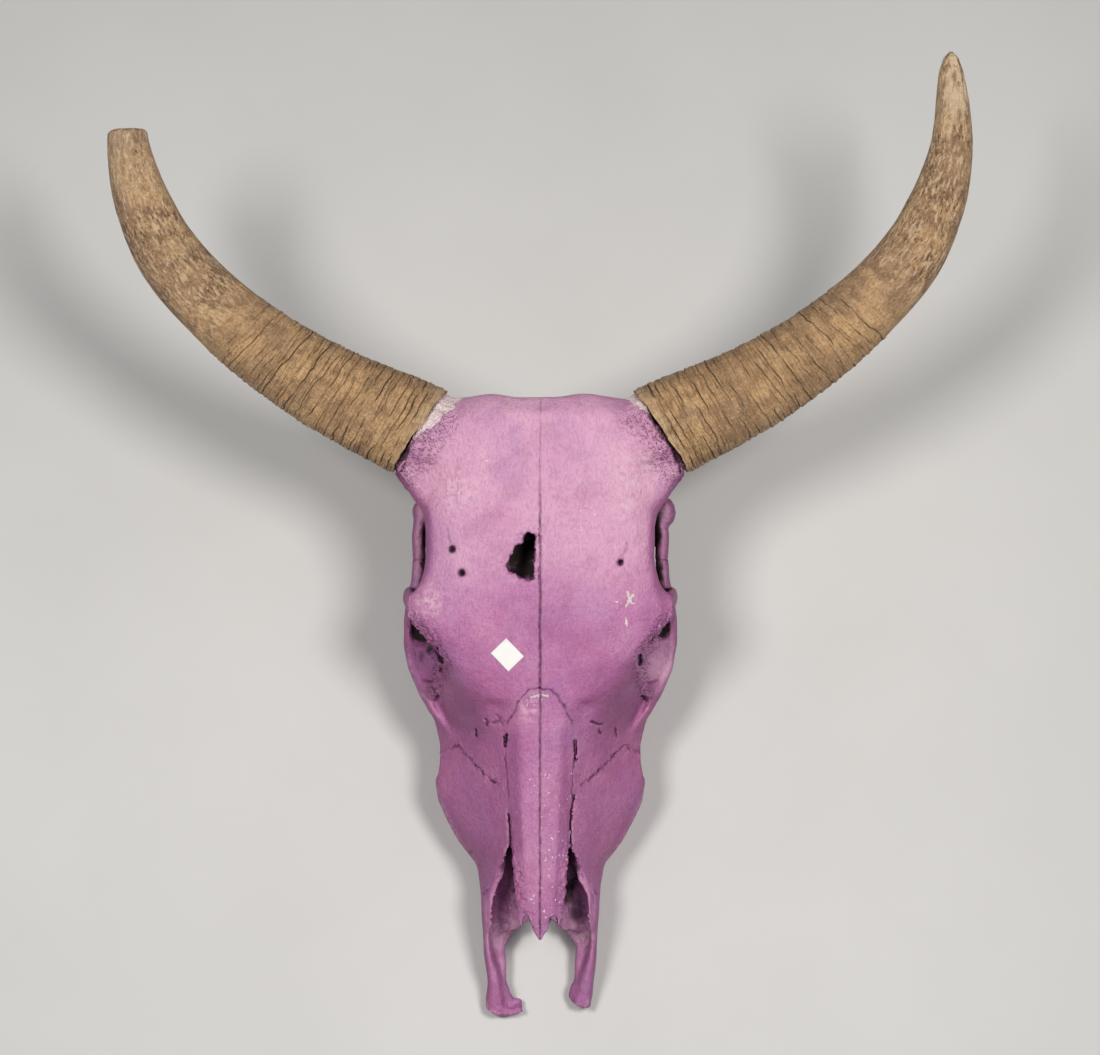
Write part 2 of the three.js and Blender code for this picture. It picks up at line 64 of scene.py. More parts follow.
# where a point shows on the forehead plane when the face is looked at square on
def faceMap(co):
    x, along, depth = faceCoords(co)
    shrink = 1 / (1 + depth / faceLie["viewFrom"])
    aimX, aimAlong = faceLie["aimX"], faceLie["aimAlong"]
    return aimX + (x - aimX) * shrink, aimAlong + (along - aimAlong) * shrink


def ramp(value, low, high):
    t = np.clip((value - low) / (high - low), 0, 1)
    return t * t * (3 - 2 * t)


# rises from low to full, stays, and falls from fade to gone
def band(value, low, full, fade, gone):
    return ramp(value, low, full) * (1 - ramp(value, fade, gone))


# moves points by millimetres along a direction
def shift(co, way, amount):
    return co + way * (amount * mm)[:, None]


def noiseOver(co, size, seed=0.0):
    points = (co / size + seed).tolist()
    return np.array([noise.noise(p) for p in points])


def deselectAll():
    if bpy.context.mode != "OBJECT":
        bpy.ops.object.mode_set(mode="OBJECT")
    bpy.ops.object.select_all(action="DESELECT")


def makeActive(obj):
    deselectAll()
    obj.select_set(True)
    bpy.context.view_layer.objects.active = obj


def editAll(obj):
    makeActive(obj)
    bpy.ops.object.mode_set(mode="EDIT")
    bpy.ops.mesh.select_all(action="SELECT")


def useModifier(obj, kind, **settings):
    makeActive(obj)
    mod = obj.modifiers.new(kind.lower(), kind)
    for key, value in settings.items():
        setattr(mod, key, value)
    bpy.ops.object.modifier_apply(modifier=mod.name)


# a CAD node's mesh is loose triangles, so the copy is merged before anything else
def copyNode(nodeName, pieceName):
    piece = bpy.data.objects.new(pieceName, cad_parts[nodeName].data.copy())
    bpy.context.scene.collection.objects.link(piece)
    piece.data.materials.clear()
    editAll(piece)
    bpy.ops.mesh.remove_doubles(threshold=1e-6)
    bpy.ops.object.mode_set(mode="OBJECT")
    return piece


def readVerts(obj):
    co = np.empty(len(obj.data.vertices) * 3, np.float32)
    obj.data.vertices.foreach_get("co", co)
    return co.reshape(-1, 3).astype(float)


def readNormals(obj):
    nor = np.empty(len(obj.data.vertices) * 3, np.float32)
    obj.data.vertex_normals.foreach_get("vector", nor)
    return nor.reshape(-1, 3).astype(float)


def writeVerts(obj, co):
    obj.data.vertices.foreach_set("co", co.astype(np.float32).ravel())
    obj.data.update()


def writeMask(obj, name, values):
    layer = obj.data.attributes.new(name, "FLOAT", "POINT")
    layer.data.foreach_set("value", np.clip(values, 0, 1).astype(np.float32))


def edgePairs(obj):
    pairs = np.empty(len(obj.data.edges) * 2, np.int32)
    obj.data.edges.foreach_get("vertices", pairs)
    return pairs.reshape(-1, 2)


# each vertex's value averaged with its neighbours
def relax(values, pairs, rounds=1):
    count = np.bincount(pairs.ravel(), minlength=len(values))
    for step in range(rounds):
        total = np.bincount(pairs[:, 0], values[pairs[:, 1]], len(values))
        total += np.bincount(pairs[:, 1], values[pairs[:, 0]], len(values))
        values = 0.5 * values + 0.5 * total / np.maximum(count, 1)
    return values


print("camera and lights")
cameraData = bpy.data.cameras.new("photoCamera")
camera = bpy.data.objects.new("photoCamera", cameraData)
bpy.context.scene.collection.objects.link(camera)
photoScale = {"mmPerPixel": 0.77, "wide": 1100, "sensor": 36}
cameraData.sensor_width = photoScale["sensor"]
cameraData.lens = faceLie["viewFrom"] / photoScale["mmPerPixel"] / photoScale["wide"] * photoScale["sensor"]
cameraTurn = Matrix((Vector((1, 0, 0)), faceUp, faceOut)).transposed().to_4x4()
aim = facePoint(faceLie["aimX"], faceLie["aimAlong"])
camera.matrix_world = Matrix.Translation(aim + faceOut * faceLie["viewFrom"] * mm) @ cameraTurn
bpy.context.scene.camera = camera
bpy.context.scene.view_settings.view_transform = "Standard"

# two soft boxes beside the camera and a weak one past the snout, aimed at the forehead
softBoxes = {
    "boxRight": {"side": 0.42, "up": 0.2, "away": 1.9, "size": 0.55, "power": 25, "tint": (1, 0.975, 0.94)},
    "boxLeft": {"side": -0.42, "up": 0.2, "away": 1.9, "size": 0.55, "power": 21, "tint": (1, 0.98, 0.95)},
    "boxSnout": {"side": 0.05, "up": -1.1, "away": 2.2, "size": 1.0, "power": 3, "tint": (0.96, 0.98, 1)},
}
for boxName, box in softBoxes.items():
    lampData = bpy.data.lights.new(boxName, "AREA")
    lampData.shape = "DISK"
    lampData.size = box["size"]
    lampData.energy = box["power"]
    lampData.color = box["tint"]
    lamp = bpy.data.objects.new(boxName, lampData)
    towards = (faceOut + Vector((1, 0, 0)) * box["side"] + faceUp * box["up"]).normalized()
    lamp.location = facePoint(0, 120) + towards * box["away"]
    lamp.rotation_euler = towards.to_track_quat("Z", "Y").to_euler()
    bpy.context.scene.collection.objects.link(lamp)
room = bpy.data.worlds.new("room")
bpy.context.scene.world = room
room.use_nodes = True
room.node_tree.nodes["Background"].inputs["Color"].default_value = (0.9, 0.93, 1, 1)
room.node_tree.nodes["Background"].inputs["Strength"].default_value = 0.10

print("shader groups")


# the node tree that is being filled
bench = {"tree": None}


def wire(source, plug):
    bench["tree"].links.new(source, plug)


def addNode(kind, settings=None, **sockets):
    made = bench["tree"].nodes.new(kind)
    for key, value in (settings or {}).items():
        setattr(made, key, value)
    for key, value in sockets.items():
        plug = made.inputs[int(key[1:])] if key[0] == "i" and key[1:].isdigit() else made.inputs[key]
        if isinstance(value, bpy.types.NodeSocket):
            wire(value, plug)
        else:
            plug.default_value = value
    return made


def calc(operation, first, second=0.0, third=0.0, clamp=False):
    made = addNode("ShaderNodeMath", {"operation": operation, "use_clamp": clamp}, i0=first, i1=second, i2=third)
    return made.outputs[0]


def times(first, second, clamp=False):
    return calc("MULTIPLY", first, second, clamp=clamp)


def remap(value, low, high, toLow=0.0, toHigh=1.0):
    made = addNode("ShaderNodeMapRange", {"interpolation_type": "SMOOTHSTEP"},
                   i0=value, i1=low, i2=high, i3=toLow, i4=toHigh)
    return made.outputs[0]


def blendColor(share, first, second):
    made = addNode("ShaderNodeMix", {"data_type": "RGBA", "blend_type": "MIX"}, i0=share, i6=first, i7=second)
    return made.outputs[2]


# colours laid over each other, as (share, tone)
def coatOver(base, tones, layers):
    for share, tone in layers:
        base = blendColor(share, base, tones[tone])
    return base


# heights added up, as (value, amount)
def addHeights(base, parts):
    for value, amount in parts:
        base = calc("MULTIPLY_ADD", value, amount, base)
    return base


def newGroup(name, inputs, outputs):
    tree = bpy.data.node_groups.new(name, "ShaderNodeTree")
    for key, (kind, default) in inputs.items():
        plug = tree.interface.new_socket(key, in_out="INPUT", socket_type=kind)
        if default is not None:
            plug.default_value = default
    for key, kind in outputs.items():
        tree.interface.new_socket(key, in_out="OUTPUT", socket_type=kind)
    bench["tree"] = tree
    return tree, addNode("NodeGroupInput").outputs, addNode("NodeGroupOutput").inputs


# broad and fine cloudiness, from 0 to 1
mottleTree, groupIn, groupOut = newGroup(
    "mottle",
    {"Vector": ("NodeSocketVector", None), "Broad": ("NodeSocketFloat", 20.0), "Fine": ("NodeSocketFloat", 150.0)},
    {"Clouds": "NodeSocketFloat", "Grain": "NodeSocketFloat"})
for scaleName, detail, coarse, result in (("Broad", 4.0, 0.55, "Clouds"), ("Fine", 5.0, 0.62, "Grain")):
    cloudNode = addNode("ShaderNodeTexNoise", None, Vector=groupIn["Vector"], Scale=groupIn[scaleName],
                        Detail=detail, Roughness=coarse)
    wire(remap(cloudNode.outputs[0], 0.3, 0.7), groupOut[result])

# scattered flecks: only some cells hold one, and each has a torn outline
fleckTree, groupIn, groupOut = newGroup(
    "flecks",
    {"Vector": ("NodeSocketVector", None), "Scale": ("NodeSocketFloat", 120.0),
     "Share": ("NodeSocketFloat", 0.1), "Size": ("NodeSocketFloat", 0.25)},
    {"Mask": "NodeSocketFloat"})
torn = addNode("ShaderNodeTexNoise", None, Vector=groupIn["Vector"], Scale=420.0, Detail=3.0)
pull = addNode("ShaderNodeVectorMath", {"operation": "MULTIPLY_ADD"},
               i0=torn.outputs["Color"], i1=(0.004, 0.004, 0.004), i2=groupIn["Vector"])
cells = addNode("ShaderNodeTexVoronoi", None, Vector=pull.outputs[0], Scale=groupIn["Scale"])
pick = addNode("ShaderNodeSeparateColor", None, Color=cells.outputs["Color"])
chosen = calc("LESS_THAN", pick.outputs[0], groupIn["Share"])
spread = times(groupIn["Size"], calc("MULTIPLY_ADD", pick.outputs[1], 0.8, 0.4))
inside = calc("LESS_THAN", cells.outputs["Distance"], spread)
wire(times(chosen, inside), groupOut["Mask"])

# round pores of bone, 1 in the pore and 0 between
poreTree, groupIn, groupOut = newGroup(
    "pores",
    {"Vector": ("NodeSocketVector", None), "Scale": ("NodeSocketFloat", 300.0)},
    {"Mask": "NodeSocketFloat"})
wobble = addNode("ShaderNodeTexNoise", None, Vector=groupIn["Vector"], Scale=160.0, Detail=2.0)
poreWay = addNode("ShaderNodeVectorMath", {"operation": "MULTIPLY_ADD"},
                  i0=wobble.outputs["Color"], i1=(0.006, 0.006, 0.006), i2=groupIn["Vector"])
poreCells = addNode("ShaderNodeTexVoronoi", None, Vector=poreWay.outputs[0], Scale=groupIn["Scale"])
wire(remap(poreCells.outputs["Distance"], 0.42, 0.12), groupOut["Mask"])


def newMaterial(name):
    made = bpy.data.materials.new(name)
    made.use_nodes = True
    bench["tree"] = made.node_tree
    return made, made.node_tree.nodes["Principled BSDF"]


def useGroup(group, **sockets):
    return addNode("ShaderNodeGroup", {"node_tree": group}, **sockets).outputs


def maskOf(name):
    return addNode("ShaderNodeAttribute", {"attribute_name": name}).outputs["Fac"]


print("painted bone")
paintTones = {
    "deep": (0.205, 0.042, 0.138, 1), "body": (0.43, 0.127, 0.333, 1), "paintedSheen": (0.635, 0.325, 0.485, 1),
    "worn": (0.72, 0.47, 0.58, 1), "bone": (0.92, 0.76, 0.78, 1), "boneDark": (0.64, 0.47, 0.46, 1),
    "lilac": (0.35, 0.15, 0.375, 1), "rose": (0.53, 0.155, 0.31, 1),
    "crack": (0.055, 0.016, 0.038, 1), "shadeBlack": (0.022, 0.013, 0.012, 1),
}
paintedBone, shader = newMaterial("paintedBone")
place = addNode("ShaderNodeTexCoord").outputs["Object"]
cloud = useGroup(mottleTree, Vector=place, Broad=15.0, Fine=210.0)
drift = useGroup(mottleTree, Vector=place, Broad=52.0, Fine=640.0)
grainWay = addNode("ShaderNodeMapping", None, Vector=place, Scale=(1, 0.4, 0.7)).outputs[0]
grain = useGroup(mottleTree, Vector=grainWay, Broad=200.0, Fine=560.0)
seamAndShadow, edge = maskOf("seamAndShadow"), maskOf("edge")
rough, bare, dustAndSheen = maskOf("rough"), maskOf("bare"), maskOf("dustAndSheen")
hollow, paintedShade = maskOf("hollow"), maskOf("paintedShade")
chips = useGroup(fleckTree, Vector=place, Scale=150.0, Share=0.05, Size=0.13)["Mask"]
grit = useGroup(fleckTree, Vector=place, Scale=360.0, Share=0.3, Size=0.26)["Mask"]
pores = useGroup(poreTree, Vector=place, Scale=310.0)["Mask"]
finePores = useGroup(poreTree, Vector=place, Scale=620.0)["Mask"]

cloudy = times(calc("SUBTRACT", cloud["Clouds"], 0.5), 0.22)
# painted light and shade from the bone's mask, with some cloudiness added
paintedLightAndShade = calc("ADD", maskOf("paintedLightAndShade"), cloudy, clamp=True)
tint = addNode("ShaderNodeTexNoise", None, Vector=place, Scale=21.0, Detail=2.5).outputs[0]
# painted sheen: where painted light is strongest the paint turns paler and whiter, and the worn grain shows more
paintedSheenShare = remap(paintedLightAndShade, 0.36, 0.66, 0.25, 1.0)
rub = times(edge, remap(cloud["Grain"], 0.2, 0.75))
# dust and painted sheen: pale streaks where the mask is set
dustAndSheenMask = times(dustAndSheen, remap(cloud["Grain"], 0.1, 0.9))
roughPores = times(calc("MAXIMUM", finePores, times(pores, 0.8)), rough)
# painted shade and light: the deep tone where painted shade lies, the body tone where painted light falls
paint = blendColor(times(paintedLightAndShade, 1.6, clamp=True), paintTones["deep"], paintTones["body"])
paint = coatOver(paint, paintTones, [
    (remap(paintedLightAndShade, 0.5, 1.0), "paintedSheen"), (times(remap(drift["Clouds"], 0.45, 1.0), 0.2), "deep"),
    (remap(tint, 0.5, 0.72, 0.0, 0.4), "lilac"), (remap(tint, 0.48, 0.28, 0.0, 0.3), "rose"),
    (times(grain["Clouds"], times(paintedSheenShare, 0.10)), "worn"),
    (times(drift["Grain"], times(paintedSheenShare, 0.2)), "worn"),
    (times(remap(grain["Grain"], 0.55, 0.1), 0.2), "deep"),
    (times(rub, 0.6), "worn"), (times(dustAndSheenMask, 0.72), "worn"), (times(hollow, 0.6), "deep"),
    (times(rough, 0.14), "deep"), (times(roughPores, 0.42), "crack"),
])
boneColor = blendColor(drift["Grain"], paintTones["boneDark"], paintTones["bone"])
boneColor = blendColor(remap(cloud["Clouds"], 0.1, 0.9, 0.35, 1.0), boneColor, paintTones["bone"])
fewChips = times(chips, remap(cloud["Clouds"], 0.55, 0.8))
chipped = calc("MAXIMUM", fewChips, times(grit, maskOf("specked")))
bareEdge = calc("ADD", bare, times(calc("SUBTRACT", grain["Grain"], 0.5), 0.6))
bareMask = remap(bareEdge, 0.40, 0.58)
coat = blendColor(calc("MAXIMUM", chipped, bareMask), paint, boneColor)
# painted shade: closed-in places, the sockets under the brows and the forehead hole turn near black
paintedShadeEdge = calc("ADD", paintedShade, times(calc("SUBTRACT", drift["Clouds"], 0.5), 0.35))
paintedShadeMask = remap(paintedShadeEdge, 0.62, 1.0)
coat = blendColor(paintedShadeMask, coat, paintTones["shadeBlack"])
# dark sutures, with the painted shadow of the horn joints and of deep pits
seamAndShadowMask = times(seamAndShadow, remap(drift["Grain"], 0.1, 0.6, 0.6, 1.0), clamp=True)
coat = blendColor(seamAndShadowMask, coat, paintTones["crack"])
wire(coat, shader.inputs["Base Color"])
gloss = calc("MULTIPLY_ADD", cloud["Grain"], 0.16, 0.46)
gloss = calc("MULTIPLY_ADD", bareMask, 0.25, gloss, clamp=True)
gloss = calc("MULTIPLY_ADD", calc("MAXIMUM", seamAndShadowMask, paintedShadeMask), 0.4, gloss, clamp=True)
wire(gloss, shader.inputs["Roughness"])
shader.inputs["Specular IOR Level"].default_value = 0.45
height = addHeights(times(cloud["Grain"], 0.9), [
    (drift["Grain"], 0.5), (grain["Grain"], 0.6), (finePores, -0.25), (roughPores, -3.4), (chipped, -0.5),
    (bareMask, times(grain["Grain"], 2.2)),
])
bump = addNode("ShaderNodeBump", None, Strength=0.9, Distance=0.0005, Height=height)
wire(bump.outputs[0], shader.inputs["Normal"])

print("horn sheath")
hornTones = {
    "tan": (0.53, 0.295, 0.15, 1), "straw": (0.68, 0.43, 0.21, 1), "dark": (0.15, 0.072, 0.034, 1),
    "grey": (0.245, 0.168, 0.108, 1), "cream": (0.72, 0.56, 0.37, 1), "crack": (0.04, 0.022, 0.011, 1),
}
hornSheath, shader = newMaterial("hornSheath")
grown = addNode("ShaderNodeAttribute", {"attribute_name": "hornMap"}).outputs["Vector"]
crack, pale, aged = maskOf("crack"), maskOf("pale"), maskOf("aged")
patches = useGroup(mottleTree, Vector=grown, Broad=26.0, Fine=260.0)
lengthwise = addNode("ShaderNodeMapping", {"vector_type": "POINT"}, Vector=grown, Scale=(0.16, 1, 1))
fibre = useGroup(mottleTree, Vector=lengthwise.outputs[0], Broad=240.0, Fine=700.0)
flakeWay = addNode("ShaderNodeMapping", None, Vector=grown, Scale=(0.42, 1, 1)).outputs[0]
flake = useGroup(mottleTree, Vector=flakeWay, Broad=360.0, Fine=760.0)
aroundWay = addNode("ShaderNodeMapping", None, Vector=grown, Scale=(1, 0.05, 0.05))
bands = useGroup(mottleTree, Vector=aroundWay.outputs[0], Broad=300.0, Fine=760.0)
young = calc("SUBTRACT", 1.0, aged)
smudge = addNode("ShaderNodeTexNoise", None, Vector=grown, Scale=38.0, Detail=3.0).outputs[0]
blotch = useGroup(mottleTree, Vector=grown, Broad=95.0, Fine=520.0)


# thin lines around the young horn, where a stretched noise crosses its middle
def linesAround(scale, middle):
    cloudNode = addNode("ShaderNodeTexNoise", None, Vector=aroundWay.outputs[0], Scale=scale,
                        Detail=2.0, Roughness=0.55)
    offMiddle = calc("ABSOLUTE", calc("SUBTRACT", cloudNode.outputs[0], middle))
    return cloudNode.outputs[0], remap(offMiddle, 0.024, 0.004)


ringCloud, ringLine = linesAround(125.0, 0.5)
fineLine = linesAround(300.0, 0.47)[1]
patchy = remap(patches["Grain"], 0.2, 0.6, 0.25, 1.0)
ringDark = times(ringLine, times(young, patchy))
fineDark = times(fineLine, times(young, 0.5))
flaky = remap(aged, 0.4, 1.0)
darkPart = times(flaky, remap(smudge, 0.42, 0.62, 0.2, 1.0))
flecksDark = times(remap(flake["Clouds"], 0.42, 0.1), darkPart)
pits = times(remap(flake["Grain"], 0.3, 0.12), darkPart)
flecksPale = times(remap(flake["Clouds"], 0.6, 0.95), flaky)
sheath = blendColor(patches["Clouds"], hornTones["tan"], hornTones["straw"])
sheath = coatOver(sheath, hornTones, [
    (times(bands["Clouds"], times(young, 0.22)), "grey"),
    (times(remap(patches["Clouds"], 0.75, 0.2), 0.4), "grey"),
    (times(maskOf("tone"), 0.3), "dark"), (remap(smudge, 0.5, 0.74, 0.0, 0.65), "grey"),
    (remap(blotch["Clouds"], 0.5, 0.05, 0.0, 0.5), "dark"),
    (remap(blotch["Clouds"], 0.55, 1.0, 0.0, 0.45), "straw"),
    (remap(blotch["Grain"], 0.5, 0.1, 0.0, 0.5), "dark"),
    (remap(blotch["Grain"], 0.6, 1.0, 0.0, 0.4), "cream"),
    (fineDark, "dark"), (times(ringDark, 0.45), "crack"), (times(aged, 0.22), "grey"),
    (times(flecksDark, 0.75), "dark"), (times(pits, 0.9), "crack"),
    (times(flecksPale, 0.55), "cream"),
    (times(pale, remap(fibre["Clouds"], 0.05, 0.6)), "cream"),
    (times(patches["Grain"], 0.22), "dark"), (times(young, 0.16), "straw"), (crack, "crack"),
])
wire(sheath, shader.inputs["Base Color"])
wire(calc("MULTIPLY_ADD", flake["Grain"], 0.2, 0.5), shader.inputs["Roughness"])
shader.inputs["Specular IOR Level"].default_value = 0.4
hornHeight = addHeights(times(ringCloud, times(young, 4.0)), [
    (fineDark, -0.9), (ringDark, -1.6), (bands["Grain"], times(young, 0.9)),
    (flake["Clouds"], times(aged, 1.5)), (fibre["Grain"], 0.35), (patches["Grain"], 0.5),
    (blotch["Grain"], 1.1),
])
hornBump = addNode("ShaderNodeBump", None, Strength=0.9, Distance=0.0005, Height=hornHeight)
wire(hornBump.outputs[0], shader.inputs["Normal"])

print("label paper")
labelPaper, shader = newMaterial("labelPaper")
place = addNode("ShaderNodeTexCoord").outputs["Object"]
pulp = useGroup(mottleTree, Vector=place, Broad=130.0, Fine=1500.0)
paperTone = blendColor(times(pulp["Clouds"], 0.5), (0.80, 0.795, 0.78, 1), (0.74, 0.725, 0.69, 1))
paperTone = blendColor(times(maskOf("rim"), 0.4), paperTone, (0.66, 0.56, 0.58, 1))
wire(paperTone, shader.inputs["Base Color"])
wire(calc("MULTIPLY_ADD", pulp["Grain"], 0.15, 0.5), shader.inputs["Roughness"])
paperBump = addNode("ShaderNodeBump", None, Strength=0.35, Distance=0.0001, Height=pulp["Grain"])
wire(paperBump.outputs[0], shader.inputs["Normal"])

print("floor")
floorPlace = {"half": 4.0, "tone": (0.62, 0.615, 0.605, 1), "shade": (0.585, 0.58, 0.57, 1)}
deselectAll()
bpy.ops.mesh.primitive_plane_add(size=floorPlace["half"] * 2, location=(0, 0, 0))
floor = bpy.context.active_object
floor.name = "studioFloor"
floorPaper, shader = newMaterial("floorPaper")
place = addNode("ShaderNodeTexCoord").outputs["Object"]
floorMottle = useGroup(mottleTree, Vector=place, Broad=3.0, Fine=400.0)
floorTone = blendColor(floorMottle["Clouds"], floorPlace["tone"], floorPlace["shade"])
wire(floorTone, shader.inputs["Base Color"])
wire(calc("MULTIPLY_ADD", floorMottle["Grain"], 0.06, 0.8), shader.inputs["Roughness"])
floor.data.materials.append(floorPaper)

# bones of the face, with the pitch that each is remeshed at
bonePitch = {
    "braincase": 1.7, "frontal_left": 1.15, "frontal_right": 1.15, "nasal_left": 0.9, "nasal_right": 0.9,
    "cheekbone_left": 1.15, "cheekbone_right": 1.15, "maxilla_left": 1.2, "maxilla_right": 1.2,
    "premaxilla_left": 0.9, "premaxilla_right": 0.9,
}
# how far a suture stands open between two kinds of bone
sutureOpen = {
    ("frontal", "frontal"): 1.0, ("nasal", "nasal"): 0.85, ("frontal", "nasal"): 0.75, ("cheekbone", "maxilla"): 0.85,
    ("maxilla", "nasal"): 0.7, ("cheekbone", "nasal"): 0.12, ("cheekbone", "frontal"): 0.05,
    ("frontal", "maxilla"): 0.3, ("maxilla", "premaxilla"): 0.05, ("braincase", "frontal"): 0.2,
    ("maxilla", "maxilla"): 0.6, ("premaxilla", "premaxilla"): 0.6,
}


def kindOf(nodeName):
    return nodeName.split("_")[0]


# lumps that fuse with a bone when it is remeshed: face points in millimetres, wrapped in a hull
footRight = [(-42, 466, 57), (-44.5, 480, 60), (-40, 486, 62), (-32, 488.5, 63), (-24, 488.5, 64), (-21, 478, 63),
             (-25.5, 465, 60), (-34, 464, 55)]
footProng = [(-26, 478, 63), (-21, 476.5, 63), (-14.6, 475, 64), (-13.8, 483, 65), (-19, 487, 65), (-26, 488, 64)]
footLeft = [(38.7, 470, 57), (38.7, 480.5, 60), (34, 483.5, 61), (23.6, 478, 62), (21.6, 474, 62), (24.5, 464, 60),
            (33, 464, 54)]
tearRamp = [(74, 203, 18), (62, 219, 13.5), (48, 233, 14), (37, 240, 15), (83, 229, 53), (76, 250, 61), (60, 266, 53),
            (36, 266, 26), (66, 212, 50), (60, 240, 62), (45, 246, 45)]
socketFloor = [(104, 186, 77), (104, 216, 77), (96, 239, 73), (77, 237, 64), (75, 205, 66), (82, 184, 76)]
palateSpur = [(36, 402, 58), (35, 440, 60), (29, 440, 66), (26.5, 432, 69), (12, 408, 75), (12, 400, 80),
              (33, 398, 62), (32, 440, 78), (22, 420, 82), (30, 395, 82)]
barInside = [(37, 436, 57), (35.5, 467, 58), (29, 436, 66), (26.5, 467, 64), (36, 436, 72), (34, 467, 70),
             (29, 450, 73)]
cheekFlare = [(85, 303, 77), (82.6, 320, 77), (75.4, 336.5, 76), (66.6, 352.5, 75), (54, 368.5, 75),
              (84, 303, 88), (81.5, 320, 88), (74, 336, 87), (65, 352, 86), (53, 368, 84),
              (70, 298, 70), (64, 325, 68), (54, 350, 64), (46, 367, 63), (60, 320, 96), (50, 350, 90)]
hornNeck = [(115, 50, 16), (115.5, 56, 25), (107.5, 62, 27), (97.5, 76, 28), (92, 92, 27), (84, 50, 12), (84, 88, 15),
            (104, 48, 14.5), (111, 53, 46), (98, 68, 46), (90, 84, 42)]
socketFront = [(83, 229, 50), (80, 222, 44), (97, 222, 69), (92, 236, 67), (84, 240, 60), (80, 230, 68),
               (94, 226, 77), (86, 236, 77)]
socketBack = [(104, 166, 54), (104, 164, 82), (104.5, 186, 77), (98, 166, 54), (98, 186, 79), (98, 166, 86)]
tearFoot = [(74, 249, 63), (76, 262, 67), (64, 268, 60), (79, 246, 71), (77, 262, 75), (66, 262, 76),
            (80, 240, 75), (74, 242, 71)]
# as bone, points, side and how thick the lump is below its points
lumps = [("premaxilla_right", footRight, 1, 5.5), ("premaxilla_right", footProng, 1, 4),
         ("premaxilla_left", footLeft, 1, 6)]
bothSides = [("cheekbone", tearRamp, 0), ("cheekbone", socketFloor, 7), ("premaxilla", palateSpur, 0),
             ("premaxilla", barInside, 0), ("maxilla", cheekFlare, 0), ("frontal", hornNeck, 0),
             ("cheekbone", socketFront, 0), ("cheekbone", socketBack, 0), ("cheekbone", tearFoot, 0)]
for kind, points, thick in bothSides:
    lumps += [(kind + "_left", points, 1, thick), (kind + "_right", points, -1, thick)]


def addLumps(nodeName, piece):
    parts = [piece]
    for owner, points, side, thick in lumps:
        if owner == nodeName:
            deselectAll()
            bpy.ops.mesh.primitive_cube_add(size=mm)
            lump = bpy.context.active_object
            corners = [facePoint(x * side, along, depth) for x, along, depth in points]
            if thick:
                corners += [facePoint(x * side, along, depth + thick) for x, along, depth in points]
            lump.data.clear_geometry()
            lump.data.from_pydata(corners, [], [])
            editAll(lump)
            bpy.ops.mesh.convex_hull()
            bpy.ops.object.mode_set(mode="OBJECT")
            parts.append(lump)
    deselectAll()
    for part in parts:
        part.select_set(True)
    bpy.context.view_layer.objects.active = piece
    if len(parts) > 1:
        bpy.ops.object.join()
    return piece


print("skin over all bones")
skinMake = {"pitch": 1.6, "rounds": 34, "pull": 0.5, "push": -0.515, "faceRounds": 26, "socketRounds": 45,
            "meltRounds": 90, "castCount": 7, "castFar": 0.09}
copies = [addLumps(name, copyNode(name, "skin_" + name)) for name in bonePitch]
deselectAll()
for copy in copies:
    copy.select_set(True)
bpy.context.view_layer.objects.active = copies[0]
bpy.ops.object.join()
skin = bpy.context.active_object
useModifier(skin, "REMESH", mode="VOXEL", voxel_size=skinMake["pitch"] * mm)
for turn in range(skinMake["rounds"]):
    useModifier(skin, "SMOOTH", factor=skinMake["pull"], iterations=1)
    useModifier(skin, "SMOOTH", factor=skinMake["push"], iterations=1)


def wayTo(points, u, v):
    nearest = np.full(len(u), 1e9)
    for (u0, v0), (u1, v1) in zip(points, points[1:]):
        du, dv = u1 - u0, v1 - v0
        t = np.clip(((u - u0) * du + (v - v0) * dv) / max(du * du + dv * dv, 1e-9), 0, 1)
        nearest = np.minimum(nearest, np.hypot(u - u0 - t * du, v - v0 - t * dv))
    return nearest


# edges that stay crisp, as (across, along): brow rims, the hole in the forehead and the nose bones' ends
browRight = [(-103, 168), (-92, 178), (-84, 190), (-74, 203), (-76, 214), (-82, 228)]
browLeft = [(105, 168), (96, 175), (88, 186), (78, 200), (77, 214), (82, 232)]
holeRim = [(-12.5, 104.5), (-3, 104.5), (-3, 142.5), (-14.5, 141), (-23, 136.5), (-26.5, 131.5), (-22, 125),
           (-12.5, 104.5)]
noseEnds = [(-21, 352), (-15, 386), (-10, 398), (-1, 421), (10, 404), (13, 408), (15, 412), (17, 386), (22, 346)]
# gaps under the brow rims, where the sockets go in
gapRight = [(-103, 174), (-97, 180), (-90, 186)]
gapLeft = [(104, 172), (99, 177), (94, 182)]
hornJoint = {"x": 96.0, "along": 27.0, "turn": 0.6}


# millimetres from the plane where the horn begins, positive towards the skull
def fromHorn(x, along):
    nx, ny = math.cos(hornJoint["turn"]), math.sin(hornJoint["turn"])
    return -((np.abs(x) - hornJoint["x"]) * nx + (hornJoint["along"] - along) * ny)


def softenSkin(groupName, weights, rounds):
    group = skin.vertex_groups.new(name=groupName)
    for i in np.nonzero(weights > 0.01)[0].tolist():
        group.add([i], float(weights[i]), "REPLACE")
    useModifier(skin, "SMOOTH", factor=0.5, iterations=rounds, vertex_group=groupName)


